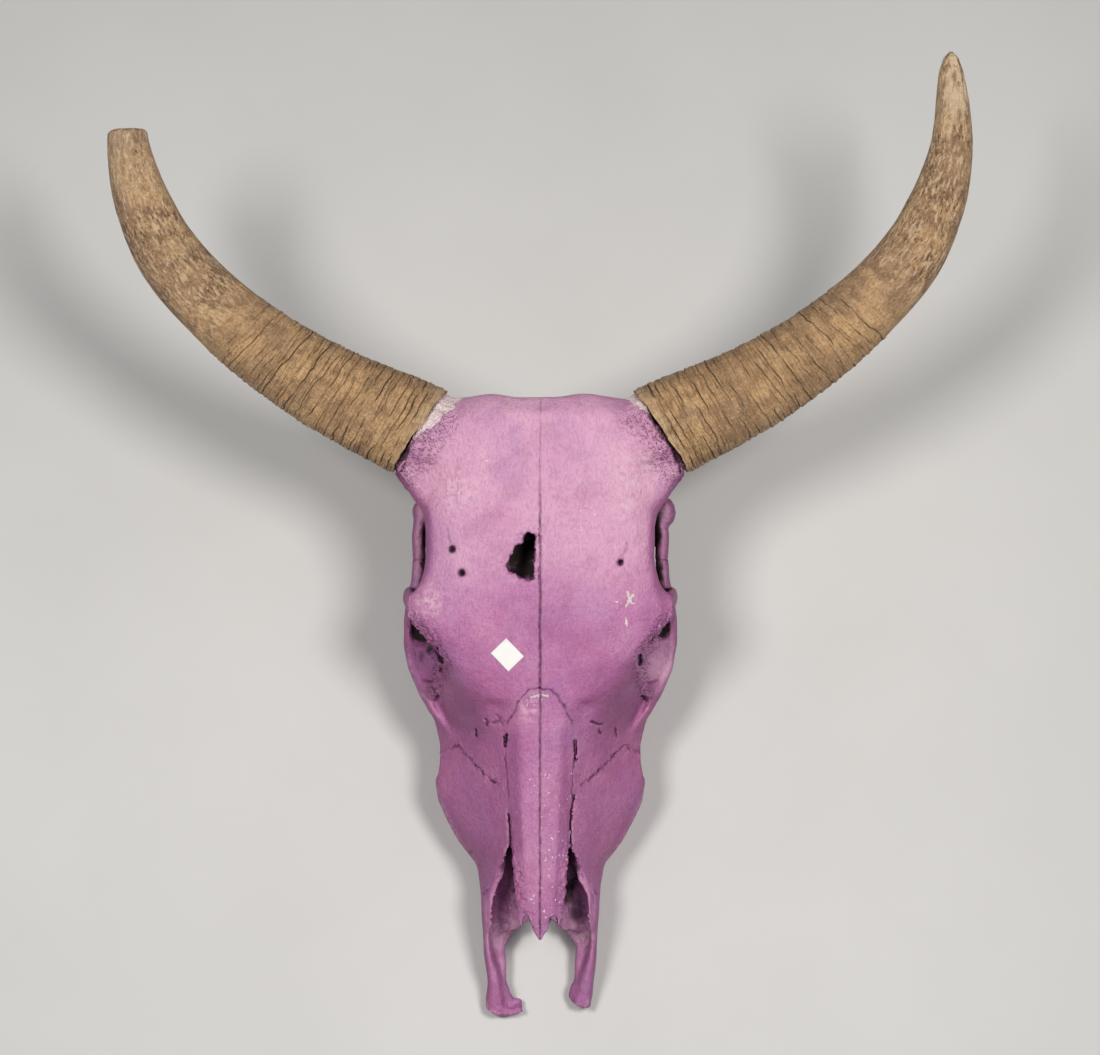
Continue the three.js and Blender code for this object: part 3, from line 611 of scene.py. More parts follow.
skinCo, skinNormals = readVerts(skin), readNormals(skin)
su, sv = faceMap(skinCo)
sx, sAlong, sDepth = faceCoords(skinCo)
sAcross, sOff = np.abs(su), np.abs(sx)
sFront = ramp(skinNormals @ outWay, 0.0, 0.4) * (1 - ramp(sDepth, 46, 58))
toBrow = np.minimum(wayTo(browRight, su, sv), wayTo(browLeft, su, sv))
keep = ramp(toBrow, 3, 10) * ramp(wayTo(holeRim, su, sv), 3, 9) * ramp(fromHorn(sx, sAlong), 4, 14)
faceSoft = sFront * keep * (1 - ramp(sAcross, 88, 98)) * (1 - ramp(sv, 300, 330))
softenSkin("face", faceSoft, skinMake["faceRounds"])
skinCo = readVerts(skin)
# two low knobs on the poll
knobs = 2.8 * np.exp(-((su + 38) / 15) ** 2) + 3.2 * np.exp(-((su - 35) / 15) ** 2)
writeVerts(skin, shift(skinCo, upWay, knobs * (1 - ramp(sv, 4, 24)) * (sDepth < 40)))
# places where neighbouring solids melt into each other
beside = band(sAcross, 20, 28, 76, 92) * band(sv, 204, 214, 262, 280) * keep * (1 - ramp(sDepth, 57, 66))
pollTop = 0.4 * (1 - ramp(sv, 14, 34)) * (1 - ramp(sOff, 70, 88)) * (sDepth < 60)
pollTop = pollTop * ramp(fromHorn(sx, sAlong), 6, 16)
temple = 0.8 * band(sAcross, 66, 78, 100, 110) * band(sv, 52, 70, 140, 156) * (sDepth < 40)
barStart = band(sAcross, 28, 33, 52, 56) * band(sv, 352, 364, 398, 410) * (sDepth < 75)
snout = band(sAcross, 24, 28, 46, 52) * band(sv, 388, 398, 424, 436)
flare = ramp(sAcross, 46, 58) * band(sv, 285, 300, 364, 376) * band(sDepth, 52, 60, 76, 84)
sockets = band(sAcross, 72, 78, 98, 102) * band(sv, 184, 192, 232, 240) * (sDepth > 52) * (sDepth < 92)
feet = 0.4 * ramp(sv, 422, 440)
strut = 0.5 * ramp(sOff, 86, 92) * band(sAlong, 150, 158, 196, 204) * ramp(sDepth, 26, 34) * (sDepth < 72)
softenSkin("sockets", np.max([flare, sockets, feet, strut], axis=0), skinMake["socketRounds"])
softenSkin("melt", np.max([beside, pollTop, temple, snout, barStart], axis=0), skinMake["meltRounds"])
skinTree = BVHTree.FromObject(skin, bpy.context.evaluated_depsgraph_get())
print("skin", len(skin.data.vertices), "points")

# how open each place is to the air: the closed-in rest is painted near black as shade
skinCo, skinNormals = readVerts(skin), readNormals(skin)
turnRng = random.Random(5)
openness = np.zeros(len(skinCo))
starts = (skinCo + skinNormals * 0.0012).tolist()
for cast in range(skinMake["castCount"]):
    lean = np.array(Vector([turnRng.gauss(0, 1) for k in range(3)]).normalized())
    ways = (skinNormals * 1.02 + lean).tolist()
    free = [skinTree.ray_cast(start, way, skinMake["castFar"])[0] is None for start, way in zip(starts, ways)]
    openness += np.array(free) / skinMake["castCount"]
openness = relax(openness, edgePairs(skin), 5)
skinFaces = [p.vertices[0] for p in skin.data.polygons]

# the flat CAD solids of the other bones tell how near a suture is
cadTris = {}
for name in bonePitch:
    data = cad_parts[name].data
    cadTris[name] = ([v.co[:] for v in data.vertices], [p.vertices[:] for p in data.polygons])


def neighbourTree(nodeName):
    verts, faces, owner = [], [], []
    for other, (points, polys) in cadTris.items():
        if other != nodeName:
            faces += [[k + len(verts) for k in poly] for poly in polys]
            verts += points
            owner += [other] * len(polys)
    return BVHTree.FromPolygons(verts, faces), owner


# furrows and pits on the face: points as (across, along), half width, depth
faceMarks = [
    ([(-71.5, 104), (-69.5, 112), (-67.8, 117.5)], 1.0, 1.0), ([(-67.8, 117.8), (-67.7, 118.4)], 2.3, 6.0),
    ([(-60.2, 136), (-60.0, 136.6)], 2.5, 6.0), ([(62.2, 128), (62.4, 128.8)], 2.2, 6.0),
    ([(63, 127), (64, 122), (67, 118), (67.5, 113)], 1.2, 0.9), ([(35.2, 103), (35.6, 103.2)], 3.4, 0.6),
    ([(-25.8, 260.5), (-26.4, 265), (-27, 269.5)], 1.1, 7.0), ([(26.4, 266.5), (27.3, 273), (27.8, 280)], 1.2, 7.0),
    ([(-42, 248.5), (-40.5, 251), (-41, 254)], 1.1, 2.4), ([(-49.3, 257), (-49.0, 262)], 1.1, 2.6),
    ([(39.5, 250.5), (43, 252.5), (47.2, 252.8)], 1.1, 2.6), ([(45.5, 257.5), (46.5, 260)], 1.1, 2.2),
    ([(58, 256), (58.8, 262)], 1.0, 2.2), ([(-36, 252), (-32, 250)], 1.0, 1.8),
    ([(-81, 180), (-78.5, 187), (-76.5, 192)], 1.5, 1.0), ([(-80, 195.5), (-77, 201), (-74.8, 205)], 1.5, 6.0),
    ([(-76.3, 210.6), (-76.0, 211.4)], 1.5, 5.0), ([(77.2, 200), (77.0, 207)], 1.2, 6.0),
    ([(88, 186), (84, 190)], 1.3, 1.8), ([(-53.2, 351), (-53.0, 352)], 1.8, 2.5),
    ([(-83, 224), (-80, 229)], 1.6, 1.6), ([(79, 231), (82, 234)], 1.6, 1.6),
    ([(-24.0, 322), (-23.3, 334), (-23.0, 346)], 0.9, 7.0), ([(25.7, 309), (24.3, 322), (23.3, 334)], 0.75, 7.0),
    ([(104.5, 44), (106.5, 51), (108, 59)], 0.9, 3.0), ([(-104, 52), (-107, 58)], 0.9, 2.5),
    ([(-63, 271), (-67, 268)], 0.8, 0.7), ([(-33.5, 246), (-30, 250), (-28.5, 254)], 1.0, 1.6),
]

boneMake = {"swell": 0.35, "wiggle": 1.3, "wiggleSize": 6.5, "groove": 0.9, "grooveWide": 0.6, "chip": 1.0,
            "porous": 1.4, "rumple": 0.4, "ragged": 1.9, "fibrous": 0.7, "hornStep": 2.2, "snapped": 1.3,
            "browGap": 7.0, "noseWide": 5.0, "footEnd": 477.8, "footMiddle": -29.3}
# how much a suture wanders between two kinds of bone
sutureSway = {("nasal", "nasal"): 0.45, ("frontal", "frontal"): 0.65, ("frontal", "nasal"): 1.5}
# patches of dust with a painted sheen, pale streaky paint, as (across, along, reach)
dustAndSheenSpots = [(-86, 160, 13), (-66, 72, 18), (73, 56, 20), (66, 84, 11), (-8, 240, 9), (-24, 412, 12), (27, 414, 12)]
# where small flecks of bone show through
fleckSpots = [(10, 330, 24), (2, 390, 26), (70, 160, 16), (-8, 232, 9), (86, 176, 9), (0, 300, 14), (34, 95, 10),
              (-62, 82, 12), (8, 352, 16)]
# bare scratches, as lines on the face
bareMarks = [[(67, 150.5), (69, 157), (66.5, 162)], [(69, 157), (71.5, 153.5)], [(69, 158), (72, 160)],
             [(66, 171), (67, 177)], [(-6, 232), (1, 230.5), (6, 231.5)]]
# edges where the paint has rubbed thin
wornLines = [[(-80, 302), (-71.5, 326.5), (-63, 342), (-54, 353)], [(81, 302), (72.4, 326.5), (64, 342), (53, 356)],
             [(-102, 196), (-99.5, 212), (-95.5, 226), (-89, 232), (-82, 233.5)],
             [(101.5, 190), (101, 204), (98, 219), (91, 227), (84, 230)],
             [(-43, 464), (-39, 474), (-30, 477.5), (-20, 477)], [(37.5, 466), (33, 472), (23, 467)]]


def spots(places, u, v):
    total = np.zeros(len(u))
    for px, pa, reach in places:
        total = np.maximum(total, np.exp(-((u - px) ** 2 + (v - pa) ** 2) / reach**2))
    return total


def finishBone(nodeName):
    piece = addLumps(nodeName, copyNode(nodeName, nodeName + "_bone"))
    useModifier(piece, "REMESH", mode="VOXEL", voxel_size=bonePitch[nodeName] * mm)
    useModifier(piece, "DISPLACE", strength=boneMake["swell"] * mm, mid_level=0.0)
    co, nor = readVerts(piece), readNormals(piece)
    others, owner = neighbourTree(nodeName)
    skinAt, skinNor = co.copy(), nor.copy()
    gap, opening = np.full(len(co), 9.0), np.zeros(len(co))
    paintedShade, zigzag, sway = np.zeros(len(co)), np.zeros(len(co)), np.ones(len(co))
    for i, p in enumerate(co.tolist()):
        found = skinTree.find_nearest(p, 0.006)
        if found[0] is not None:
            skinAt[i], skinNor[i] = found[0], found[1]
            paintedShade[i] = 1 - openness[skinFaces[found[2]]]
        close = others.find_nearest(p, 0.009)
        if close[0] is not None:
            gap[i] = close[3] / mm
            pair = tuple(sorted((kindOf(nodeName), kindOf(owner[close[2]]))))
            opening[i] = sutureOpen.get(pair, 0.3)
            zigzag[i] = pair == ("cheekbone", "maxilla")
            sway[i] = sutureSway.get(pair, 1.0)
    outer = ramp((nor * skinNor).sum(1), 0.1, 0.45)
    co += (skinAt - co) * outer[:, None]
    pairs = edgePairs(piece)
    writeVerts(piece, co)
    useModifier(piece, "SMOOTH", factor=0.4, iterations=2)
    co = readVerts(piece)
    x, along, depth = faceCoords(co)
    u, v = faceMap(co)
    across, sideways = np.abs(u), np.abs(x)

    def lineTo(points):
        return wayTo(points, u, v)

    def patch(*places):
        return spots(places, u, v)

    # the nose opening widens towards the snout
    part = np.exp(-((across - 32) / 6.5) ** 2) * band(v, 362, 386, 408, 452) * (1 - ramp(depth, 72, 82))
    co[:, 0] += np.sign(u) * boneMake["noseWide"] * part * mm

    # sutures wander: both bones follow the same wiggle, along the surface only
    near = np.nonzero(gap < 8)[0]
    drift = np.array([noise.noise_vector((co[i] / mm / boneMake["wiggleSize"]).tolist()) for i in near])
    fineDrift = np.array([noise.noise_vector((co[i] / mm / 3.0 + 31).tolist()) for i in near])
    drift += fineDrift * (0.5 + 1.9 * zigzag[near])[:, None]
    drift -= skinNor[near] * (drift * skinNor[near]).sum(1)[:, None]
    co[near] += drift * (boneMake["wiggle"] * mm * sway[near] * (1 - ramp(gap[near], 3, 8)))[:, None]
    topFade = np.where((across < 8) & (v < 115), ramp(v, 44, 115) * 0.96 + 0.04, 1.0)
    tearFade = np.where(zigzag > 0, ramp(across, 29, 34) * (1 - 0.7 * ramp(across, 66, 71)), 1.0)
    beads = 0.62 + (0.38 + 0.4 * zigzag) * noiseOver(co, 3.6 * mm, 61)
    seamAndShadow = opening * topFade * tearFade * np.exp(-(np.maximum(gap - 0.35, 0) / boneMake["grooveWide"]) ** 2)
    seamAndShadow = np.clip(seamAndShadow * beads * 1.25, 0, 1)
    co = shift(co, skinNor, -seamAndShadow * outer * boneMake["groove"])

    # furrows, foramina and slits of the face
    front = ramp(skinNor @ outWay, 0.15, 0.5) * outer
    pit = np.zeros(len(co))
    if nodeName != "braincase":
        markU, markV = u + 0.7 * noiseOver(co, 3.2 * mm, 51), v + 0.7 * noiseOver(co, 3.2 * mm, 53)
        for points, wide, deep in faceMarks:
            cut = deep * np.exp(-(wayTo(points, markU, markV) / wide) ** 2 * 1.4) * front
            pit = np.maximum(pit, cut)
        co = shift(co, outWay, -pit)

    # convex edges are chipped and jagged
    writeVerts(piece, co)
    nor = readNormals(piece)
    mean = np.stack([relax(co[:, k], pairs) for k in range(3)], 1)
    bend = ((co - mean) * nor).sum(1) / (bonePitch[nodeName] * mm)
    edge = relax(ramp(bend, 0.025, 0.12), pairs, 2)
    hollow = relax(ramp(-bend, 0.02, 0.12), pairs, 3) * (1 - 0.8 * patch((-33, 445, 26), (33, 445, 26)))
    apart = ramp(gap, 2, 6)
    chip = np.maximum(0, noiseOver(co, 3.4 * mm, 11) + 0.25 * noiseOver(co, 1.5 * mm, 5))
    co = shift(co, nor, -chip * ramp(edge, 0.12, 0.5) * apart * boneMake["chip"])
    brow = np.minimum(lineTo(browRight), lineTo(browLeft))
    torn = np.min([brow, lineTo(holeRim), lineTo(noseEnds)], axis=0)
    raggedAt = np.nonzero((torn < 6) & (depth < 60))[0]
    fray = np.array([noise.noise_vector((co[i] / mm / 2.9 + 71).tolist()) for i in raggedAt]).reshape(-1, 3)
    calm = 1 - 0.8 * spots([(-1, 420, 9)], u[raggedAt], v[raggedAt])
    co[raggedAt] += fray * (boneMake["ragged"] * mm * calm * (1 - ramp(torn[raggedAt], 1.5, 6)))[:, None]

    # the bone is porous and knotted where the horns grow out of it
    offHorn = fromHorn(x, along) + 5 * noiseOver(co, 11 * mm, 3)
    rough, bare, tornJoint = np.zeros(len(co)), np.zeros(len(co)), np.zeros(len(co))
    if kindOf(nodeName) in ("frontal", "braincase"):
        reach = ramp(sideways, 40, 66)
        rough = reach * (1 - ramp(offHorn, 8, 34)) * ramp(along + 0.25 * sideways, 14, 44)
        knots = noiseOver(co, 5.2 * mm, 7) + 0.6 * noiseOver(co, 2.7 * mm, 17)
        co = shift(co, nor, knots * rough * boneMake["porous"])
        wideRight = np.interp(along, [-12, 8, 26, 40], [19, 13, 9, 4])
        wide = np.where(x < 0, wideRight, np.interp(along, [-10, 4, 16], [14, 10, 4]))
        topSide = 1 - ramp(along, np.where(x < 0, 22, 4), np.where(x < 0, 44, 22))
        bare = reach * (1 - ramp(offHorn, wide - 4, wide + 2)) * topSide
        fibres = noiseOver(co * np.array([0.35, 1, 1]), 1.9 * mm, 23)
        co = shift(co, nor, fibres * bare * boneMake["fibrous"])
        tornJoint = 1 - ramp(fromHorn(x, along) + 2.2 * noiseOver(co, 6 * mm, 13), 3.2, 4.6)
        tornJoint = tornJoint * ramp(along, np.where(x < 0, 30, 8), np.where(x < 0, 42, 18)) * (sideways > 55)
        co = shift(co, nor, -tornJoint * boneMake["hornStep"])

    # broken snout tips, and a slight rumple everywhere
    snapped = np.zeros(len(co))
    if kindOf(nodeName) == "premaxilla":
        if nodeName == "premaxilla_right":
            fromMiddle = u - boneMake["footMiddle"]
            footEnd = boneMake["footEnd"] - np.where(fromMiddle < 0, 0.045, 0.016) * fromMiddle**2
            co = shift(co, upWay, np.maximum(0, v - footEnd) * (v > 455))
        snapped = ramp(v + 3 * noiseOver(co, 6 * mm, 2), 462, 474)
        co = shift(co, nor, -np.abs(noiseOver(co, 4 * mm, 29)) * snapped * boneMake["snapped"])
    co = shift(co, nor, noiseOver(co, 13 * mm, 41) * outer * boneMake["rumple"])

    # the eye socket opens under the brow
    inSocket = ramp(depth, 30, 45)
    inArch = 1 - ramp(sideways, 102, 105)
    browGap = np.minimum(lineTo(gapRight), lineTo(gapLeft) + 1.5) + 1.5 * noiseOver(co, 4 * mm, 73)
    carve = (1 - ramp(browGap, 2, 9)) * ramp(depth, 42, 50) * front * inArch
    co = shift(co, outWay, -boneMake["browGap"] * carve)
    writeVerts(piece, co)

    # painted light and shade: the paint is lighter where the face turns towards the camera, at the poll and along the
    # nose's middle, lighter or darker in listed patches, and darker on the nose's sides and towards the snout; then
    # the other masks that the paint reads
    facingOut = skinNor @ outWay
    paintedLightAndShade = 0.27 + 0.29 * ramp(facingOut, 0.35, 0.95) + 0.34 * (1 - ramp(v, 95, 190)) * ramp(facingOut, 0.5, 0.95)
    paintedLightAndShade += 0.06 * np.exp(-(u / 16) ** 2) * ramp(v, 215, 240)
    paintedLightAndShade -= 0.24 * patch((-54, 243, 24)) + 0.12 * patch((55, 238, 22)) + 0.05 * ramp(v, 400, 440)
    paintedLightAndShade += 0.34 * patch((92, 211, 15)) - 0.2 * patch((-92, 208, 15))
    paintedLightAndShade += 0.27 * patch((-29, 422, 12), (-28, 438, 11)) + 0.14 * patch((30, 426, 12), (29, 440, 11))
    paintedLightAndShade -= 0.13 * np.exp(-((across - 19) / 5) ** 2) * ramp(v, 250, 265) * (1 - ramp(v, 345, 360))
    paintedLightAndShade += 0.52 * (1 - ramp(v, 6, 30)) * (depth < 40) * (1 - ramp(facingOut, 0.5, 0.95))
    # painted shadow: the torn joint at each horn is coloured dark as the shadow in its gap, and the deep pits as the
    # shade inside them, beside the dark sutures
    seamAndShadow = np.maximum(seamAndShadow, tornJoint)
    writeMask(piece, "paintedLightAndShade", paintedLightAndShade)
    writeMask(piece, "seamAndShadow", np.maximum(seamAndShadow * 1.1, ramp(pit, 0.45, 2.2)) * outer)
    worn = edge * ramp(gap, 1.2, 4)
    seen = ramp(facingOut, 0.0, 0.3)
    jitter = 1.2 * noiseOver(co, 4 * mm, 67)
    for points in wornLines:
        worn = np.maximum(worn, 0.45 * seen * (1 - ramp(lineTo(points) + jitter, 0.6, 2.6)))
    writeMask(piece, "edge", worn)
    # painted shadow: near black under the brow rims where the sockets are seen into, at the far end of the right
    # socket and inside the forehead hole; less painted shade on the sockets' walls
    underBrow = np.maximum(patch((-84, 196, 8)), 1.1 * (1 - ramp(browGap, 3, 9)) * inArch) * inSocket
    inHole = patch((-14, 127, 17)) * ramp(depth, 9, 14)
    paintedShade = paintedShade * (1 - 0.85 * patch((91, 206, 17), (-92, 212, 13)) * inSocket)
    darkEnd = 0.75 * patch((-93, 202, 16)) * inSocket
    paintedShade = np.max([paintedShade, darkEnd, 0.95 * underBrow, np.minimum(1.0, 1.7 * inHole)], axis=0)
    writeMask(piece, "hollow", hollow)
    rough = np.maximum(rough, 0.8 * (1 - ramp(brow + 2 * noiseOver(co, 5 * mm, 43), 4, 9)) * front)
    writeMask(piece, "rough", rough)
    jitter = 0.7 * noiseOver(co, 2 * mm, 19)
    for points in bareMarks:
        bare = np.maximum(bare, 0.95 * (1 - ramp(lineTo(points) + jitter, 0.4, 1.5)) * front)
    writeMask(piece, "bare", np.maximum(bare, 0.52 * snapped * ramp(edge, 0.05, 0.5)))
    writeMask(piece, "paintedShade", relax(paintedShade, pairs, 2))
    # dust and a painted sheen in the listed patches
    writeMask(piece, "dustAndSheen", patch(*dustAndSheenSpots) * front)
    writeMask(piece, "specked", np.maximum(patch(*fleckSpots) * front, 0.4 * ramp(edge, 0.2, 0.7)))
    makeActive(piece)
    bpy.ops.object.shade_smooth_by_angle(angle=math.radians(55))
    piece.data.materials.append(paintedBone)
    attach(piece, "root")
    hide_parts(nodeName)
    print(nodeName, len(piece.data.polygons) * 2, "triangles")


for name in bonePitch:
    finishBone(name)

print("horns")
hornMake = {
    "axis": [(66, 38, 38), (104, 21.5, 36), (174, -12.5, 30), (237, -56.5, 22), (289, -112, 13),
             (316, -182.5, 5), (316.5, -265, 0)],
    "shares": [0, 0.1, 0.27, 0.45, 0.63, 0.73, 0.82, 0.91, 0.965, 0.99, 1],
    "radii": [38, 38, 33.4, 28.8, 25.4, 21.6, 17, 12.8, 9.4, 5.6, 1.2],
    "flat": 0.96, "around": 104, "rowsBase": 400, "rowsTip": 190, "rings": 0.45, "breakAlong": -205,
    "axisSteps": 2400, "softSteps": 80, "rimShare": 0.085, "firstRing": 5.0, "ringRise": 2.0, "ringCut": 1.9,
    "ripple": 0.75, "knoll": 0.55, "flake": 0.28, "mapRadius": 0.03,
}


# a smooth line through the points, evenly stepped
def smoothLine(points, steps):
    pts = [2 * points[0] - points[1]] + points + [2 * points[-1] - points[-2]]
    line = []
    for p0, p1, p2, p3 in zip(pts, pts[1:], pts[2:], pts[3:]):
        d0, d1, d2 = ((b - a).length ** 0.5 for a, b in ((p0, p1), (p1, p2), (p2, p3)))
        t1 = ((p1 - p0) / d0 - (p2 - p0) / (d0 + d1) + (p2 - p1) / d1) * d1
        t2 = ((p2 - p1) / d1 - (p3 - p1) / (d1 + d2) + (p3 - p2) / d2) * d1
        for k in range(60):
            t = k / 60
            line.append(p1 * (2 * t**3 - 3 * t**2 + 1) + t1 * (t**3 - 2 * t**2 + t)
                        + p2 * (3 * t**2 - 2 * t**3) + t2 * (t**3 - t**2))
    line.append(points[-1])
    line = np.array([p[:] for p in line])
    run = np.concatenate([[0], np.cumsum(np.linalg.norm(np.diff(line, axis=0), axis=1))])
    even = np.linspace(0, run[-1], steps)
    return np.stack([np.interp(even, run, line[:, k]) for k in range(3)], 1), run[-1]


def growHorn(nodeName, side, broken, seed):
    rng = random.Random(seed)
    axis, length = smoothLine([facePoint(x * side, a, d) for x, a, d in hornMake["axis"]],
                              hornMake["axisSteps"])
    heading = np.gradient(axis, axis=0)
    heading /= np.linalg.norm(heading, axis=1)[:, None]
    outward = outWay - heading * (heading @ outWay)[:, None]
    outward /= np.linalg.norm(outward, axis=1)[:, None]
    sideways = np.cross(heading, outward) * side
    share = np.linspace(0, 1, len(axis))
    radius = np.interp(share, hornMake["shares"], hornMake["radii"]) * mm
    reach = hornMake["softSteps"]
    kernel = np.hanning(2 * reach + 1)
    padded = np.concatenate([np.full(reach, radius[0]), radius, np.full(reach, radius[-1])])
    soft = np.convolve(padded, kernel / kernel.sum(), "valid")
    radius = np.where(share < 0.93, soft, soft + (radius - soft) * ramp(share, 0.93, 0.985))
    along = faceCoords(axis)[1]
    endShare = 1.0 if not broken else share[np.argmin(np.abs(along - hornMake["breakAlong"]))]

    # a grid becomes the sheath: one way along it, the other way around it
    around = hornMake["around"]
    baseCap = [0.0, 0.35, 0.7, 0.93]
    tipCap = [0.985, 0.95, 0.89, 0.8, 0.6, 0.35, 0.0] if broken else [0.0]
    rows = np.concatenate([np.linspace(0, hornMake["rings"], hornMake["rowsBase"], endpoint=False),
                           np.linspace(hornMake["rings"], 1, hornMake["rowsTip"])])
    total = len(baseCap) + len(rows) + len(tipCap)
    deselectAll()
    bpy.ops.mesh.primitive_grid_add(x_subdivisions=total - 1, y_subdivisions=around, size=2)
    piece = bpy.context.active_object
    piece.name = nodeName + "_sheath"
    grid = readVerts(piece)
    row = np.rint((grid[:, 0] + 1) / 2 * (total - 1)).astype(int)
    turn = (grid[:, 1] + 1) * math.pi
    cosT, sinT = np.cos(turn), np.sin(turn)

    way = np.concatenate([np.zeros(len(baseCap)), rows, np.ones(len(tipCap))])[row]
    shrink = np.concatenate([baseCap, np.ones(len(rows)), tipCap])[row]
    # the sheath begins at the tilted joint plane, with a torn rim
    rim = np.argmin(np.abs(share - hornMake["rimShare"]))
    rimAt = axis[rim] + radius[rim] * (cosT[:, None] * sideways[rim] + sinT[:, None] * outward[rim])
    rimX, rimAlong = faceCoords(rimAt)[:2]

    # noise around the horn, the same at the grid's two joined sides
    def noiseAround(size, key):
        return np.array([noise.noise((c * size, q * size, key)) for c, q in zip(cosT, sinT)])

    startMm = hornMake["rimShare"] * length / mm + fromHorn(rimX, rimAlong) * 1.02
    startMm -= 0.8 + 1.8 * (noiseAround(2.2, seed) + 0.5 * noiseAround(9, seed + 4.0))
    endMm = endShare * length / mm - (2.5 if broken else 0)
    s = startMm + (endMm - startMm) * way
    at = np.clip(s / (length / mm) * (len(axis) - 1), 0, len(axis) - 1)

    def sample(table):
        low = np.minimum(at.astype(int), len(table) - 2)
        part = at - low
        if table.ndim == 1:
            return table[low] * (1 - part) + table[low + 1] * part
        return table[low] * (1 - part)[:, None] + table[low + 1] * part[:, None]

    centre, sideDir, outDir, head = sample(axis), sample(sideways), sample(outward), sample(heading)
    r = sample(radius)
    straight = np.stack([s * mm, cosT * hornMake["mapRadius"], sinT * hornMake["mapRadius"]], 1).tolist()

    # growth rings: overlapping steps with a dark wandering crack at each
    ringEnd = endMm * (0.44 if broken else 0.42)
    rise, crack, tone = np.zeros(len(s)), np.zeros(len(s)), np.zeros(len(s))
    spot, ringIndex = hornMake["firstRing"], 0
    fromBase = s - startMm * 0.55 - 0.45 * startMm.mean()
    while spot < ringEnd:
        ringIndex += 1
        minor = ringIndex % 3 > 0
        gap = rng.uniform(1.2, 2.6) * (1 + spot / ringEnd * 1.1)
        depth = rng.uniform(0.22, 0.5) if minor else rng.uniform(0.6, 1.0) * (1 - 0.3 * spot / ringEnd)
        wander = 1.7 * noiseAround(1.3, ringIndex * 3.7 + seed) + 0.8 * noiseAround(5, ringIndex * 1.9 + seed)
        wander += 0.55 * noiseAround(15, ringIndex * 2.3 + seed)
        strength = ramp(noiseAround(1.7, ringIndex * 5.3 + seed + 40), -0.62, 0.12) * depth
        off = fromBase - spot - wander
        crack = np.maximum(crack, strength * np.exp(-(off / (0.4 if minor else 0.6)) ** 2))
        rise += strength * hornMake["ringRise"] * np.where(off > 0, np.exp(-off / (gap * 0.55)), 0.0)
        stain = rng.uniform(0, 0.75) * np.exp(-((off - 0.5 * gap) / gap) ** 2)
        tone = np.where((off > 0) & (off < gap), stain, tone)
        spot += gap
    waist = 1 - ramp(fromBase, ringEnd * 0.85, ringEnd * 1.15)
    ripple = np.array([noise.noise((a / 0.0026, c / 0.02, q / 0.02)) for a, c, q in straight])
    knolls = np.array([noise.noise((a / 0.026, c / 0.014, q / 0.014)) for a, c, q in straight])
    stretch = (hornMake["mapRadius"] / np.maximum(r, 0.004)).tolist()
    flakes = np.array([noise.noise((a / 0.009, c / f / 0.0028, q / f / 0.0028))
                       for (a, c, q), f in zip(straight, stretch)])
    old = ramp(s / endMm, 0.55, 0.75)
    swell = rise + hornMake["ripple"] * ripple * waist + hornMake["knoll"] * knolls
    swell += hornMake["flake"] * flakes * old - hornMake["ringCut"] * crack
    swell = np.where(shrink < 0.9, 0.0, swell) * ramp(r, 0.001, 0.012)
    r = r * shrink + swell * mm
    capDrop = np.where(np.arange(total)[row] < len(baseCap), (1 - shrink) * 2.0, 0)
    if broken:
        tail = np.arange(total)[row] >= total - len(tipCap)
        dish = np.array([noise.noise((c * k * 3, q * k * 3, 9.0)) for c, q, k in zip(cosT, sinT, shrink)])
        capDrop = np.where(tail, 3.2 * (1 - ramp(shrink, 0.72, 1.04)) ** 0.6 + 1.0 * dish * (shrink < 0.9), capDrop)
    co = centre + r[:, None] * cosT[:, None] * sideDir + (r * hornMake["flat"])[:, None] * sinT[:, None] * outDir
    writeVerts(piece, shift(co, head, capDrop))

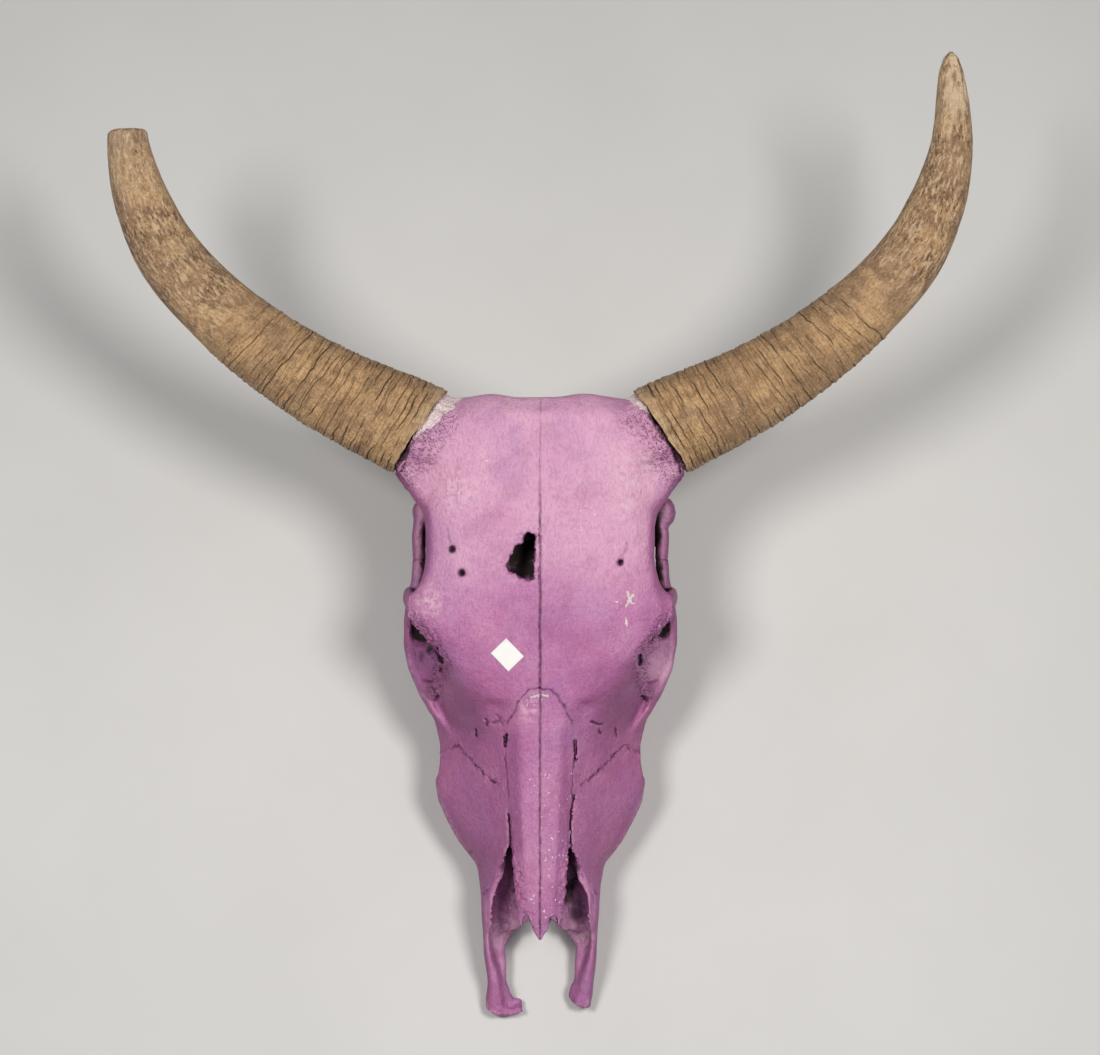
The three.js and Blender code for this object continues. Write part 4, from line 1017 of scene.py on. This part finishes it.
    layer = piece.data.attributes.new("hornMap", "FLOAT_VECTOR", "POINT")
    grown = np.stack([s * mm + seed, r * cosT, r * sinT], 1)
    layer.data.foreach_set("vector", grown.astype(np.float32).ravel())
    writeMask(piece, "crack", ramp(crack, 0.16, 0.75) * 0.74)
    writeMask(piece, "tone", tone)
    tipPale = ramp(s / endMm, 0.80, 0.97) * (0.45 + 0.55 * ramp(cosT * 0.8 + sinT * 0.4, -0.5, 0.6))
    rimPale = 0.36 * (1 - ramp(fromBase, 2, 12))
    writeMask(piece, "pale", np.maximum(tipPale * (0.3 if broken else 1.0), rimPale))
    writeMask(piece, "aged", ramp(s / endMm, 0.38, 0.64))
    editAll(piece)
    bpy.ops.mesh.remove_doubles(threshold=1e-6)
    bpy.ops.mesh.normals_make_consistent(inside=False)
    bpy.ops.object.mode_set(mode="OBJECT")
    bpy.ops.object.shade_smooth_by_angle(angle=math.radians(60))
    piece.data.materials.append(hornSheath)
    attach(piece, "root")
    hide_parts(nodeName)
    print(nodeName, len(piece.data.polygons) * 2, "triangles")


growHorn("horn_left", 1, False, 3)
growHorn("horn_right", -1, True, 11)

print("label")
labelMake = {"x": -25.2, "along": 199.4, "wide": 16.7, "long": 19.6, "turn": 0.77, "thick": 0.22, "above": 0.45,
             "lift": 0.55}
deselectAll()
bpy.ops.mesh.primitive_grid_add(x_subdivisions=34, y_subdivisions=40, size=1)
label = bpy.context.active_object
label.name = "price_label_paper"
flat = readVerts(label)
lc, ls = math.cos(labelMake["turn"]), math.sin(labelMake["turn"])
labelCo, labelRim = [], []
for px, py in (flat[:, :2] * 2).tolist():
    ex, ey = px * labelMake["wide"] / 2, py * labelMake["long"] / 2
    ray = facePoint(labelMake["x"] + ex * lc - ey * ls, labelMake["along"] - ex * ls - ey * lc, -60)
    hit = skinTree.ray_cast(ray, -faceOut)[0]
    corner = max(0, abs(px) + abs(py) - 1.35) ** 2
    rise = labelMake["above"] + labelMake["lift"] * corner * 2 + 0.05 * noise.noise((px * 2, py * 2, 4))
    labelCo.append((hit + faceOut * rise * mm)[:])
    labelRim.append(max(abs(px), abs(py)) ** 14)
writeVerts(label, np.array(labelCo))
writeMask(label, "rim", np.array(labelRim))
useModifier(label, "SOLIDIFY", thickness=labelMake["thick"] * mm, offset=-1)
editAll(label)
bpy.ops.mesh.normals_make_consistent(inside=False)
bpy.ops.object.mode_set(mode="OBJECT")
bpy.ops.object.shade_smooth_by_angle(angle=math.radians(40))
label.data.materials.append(labelPaper)
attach(label, "root")
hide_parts("price_label")

bpy.data.objects.remove(skin)
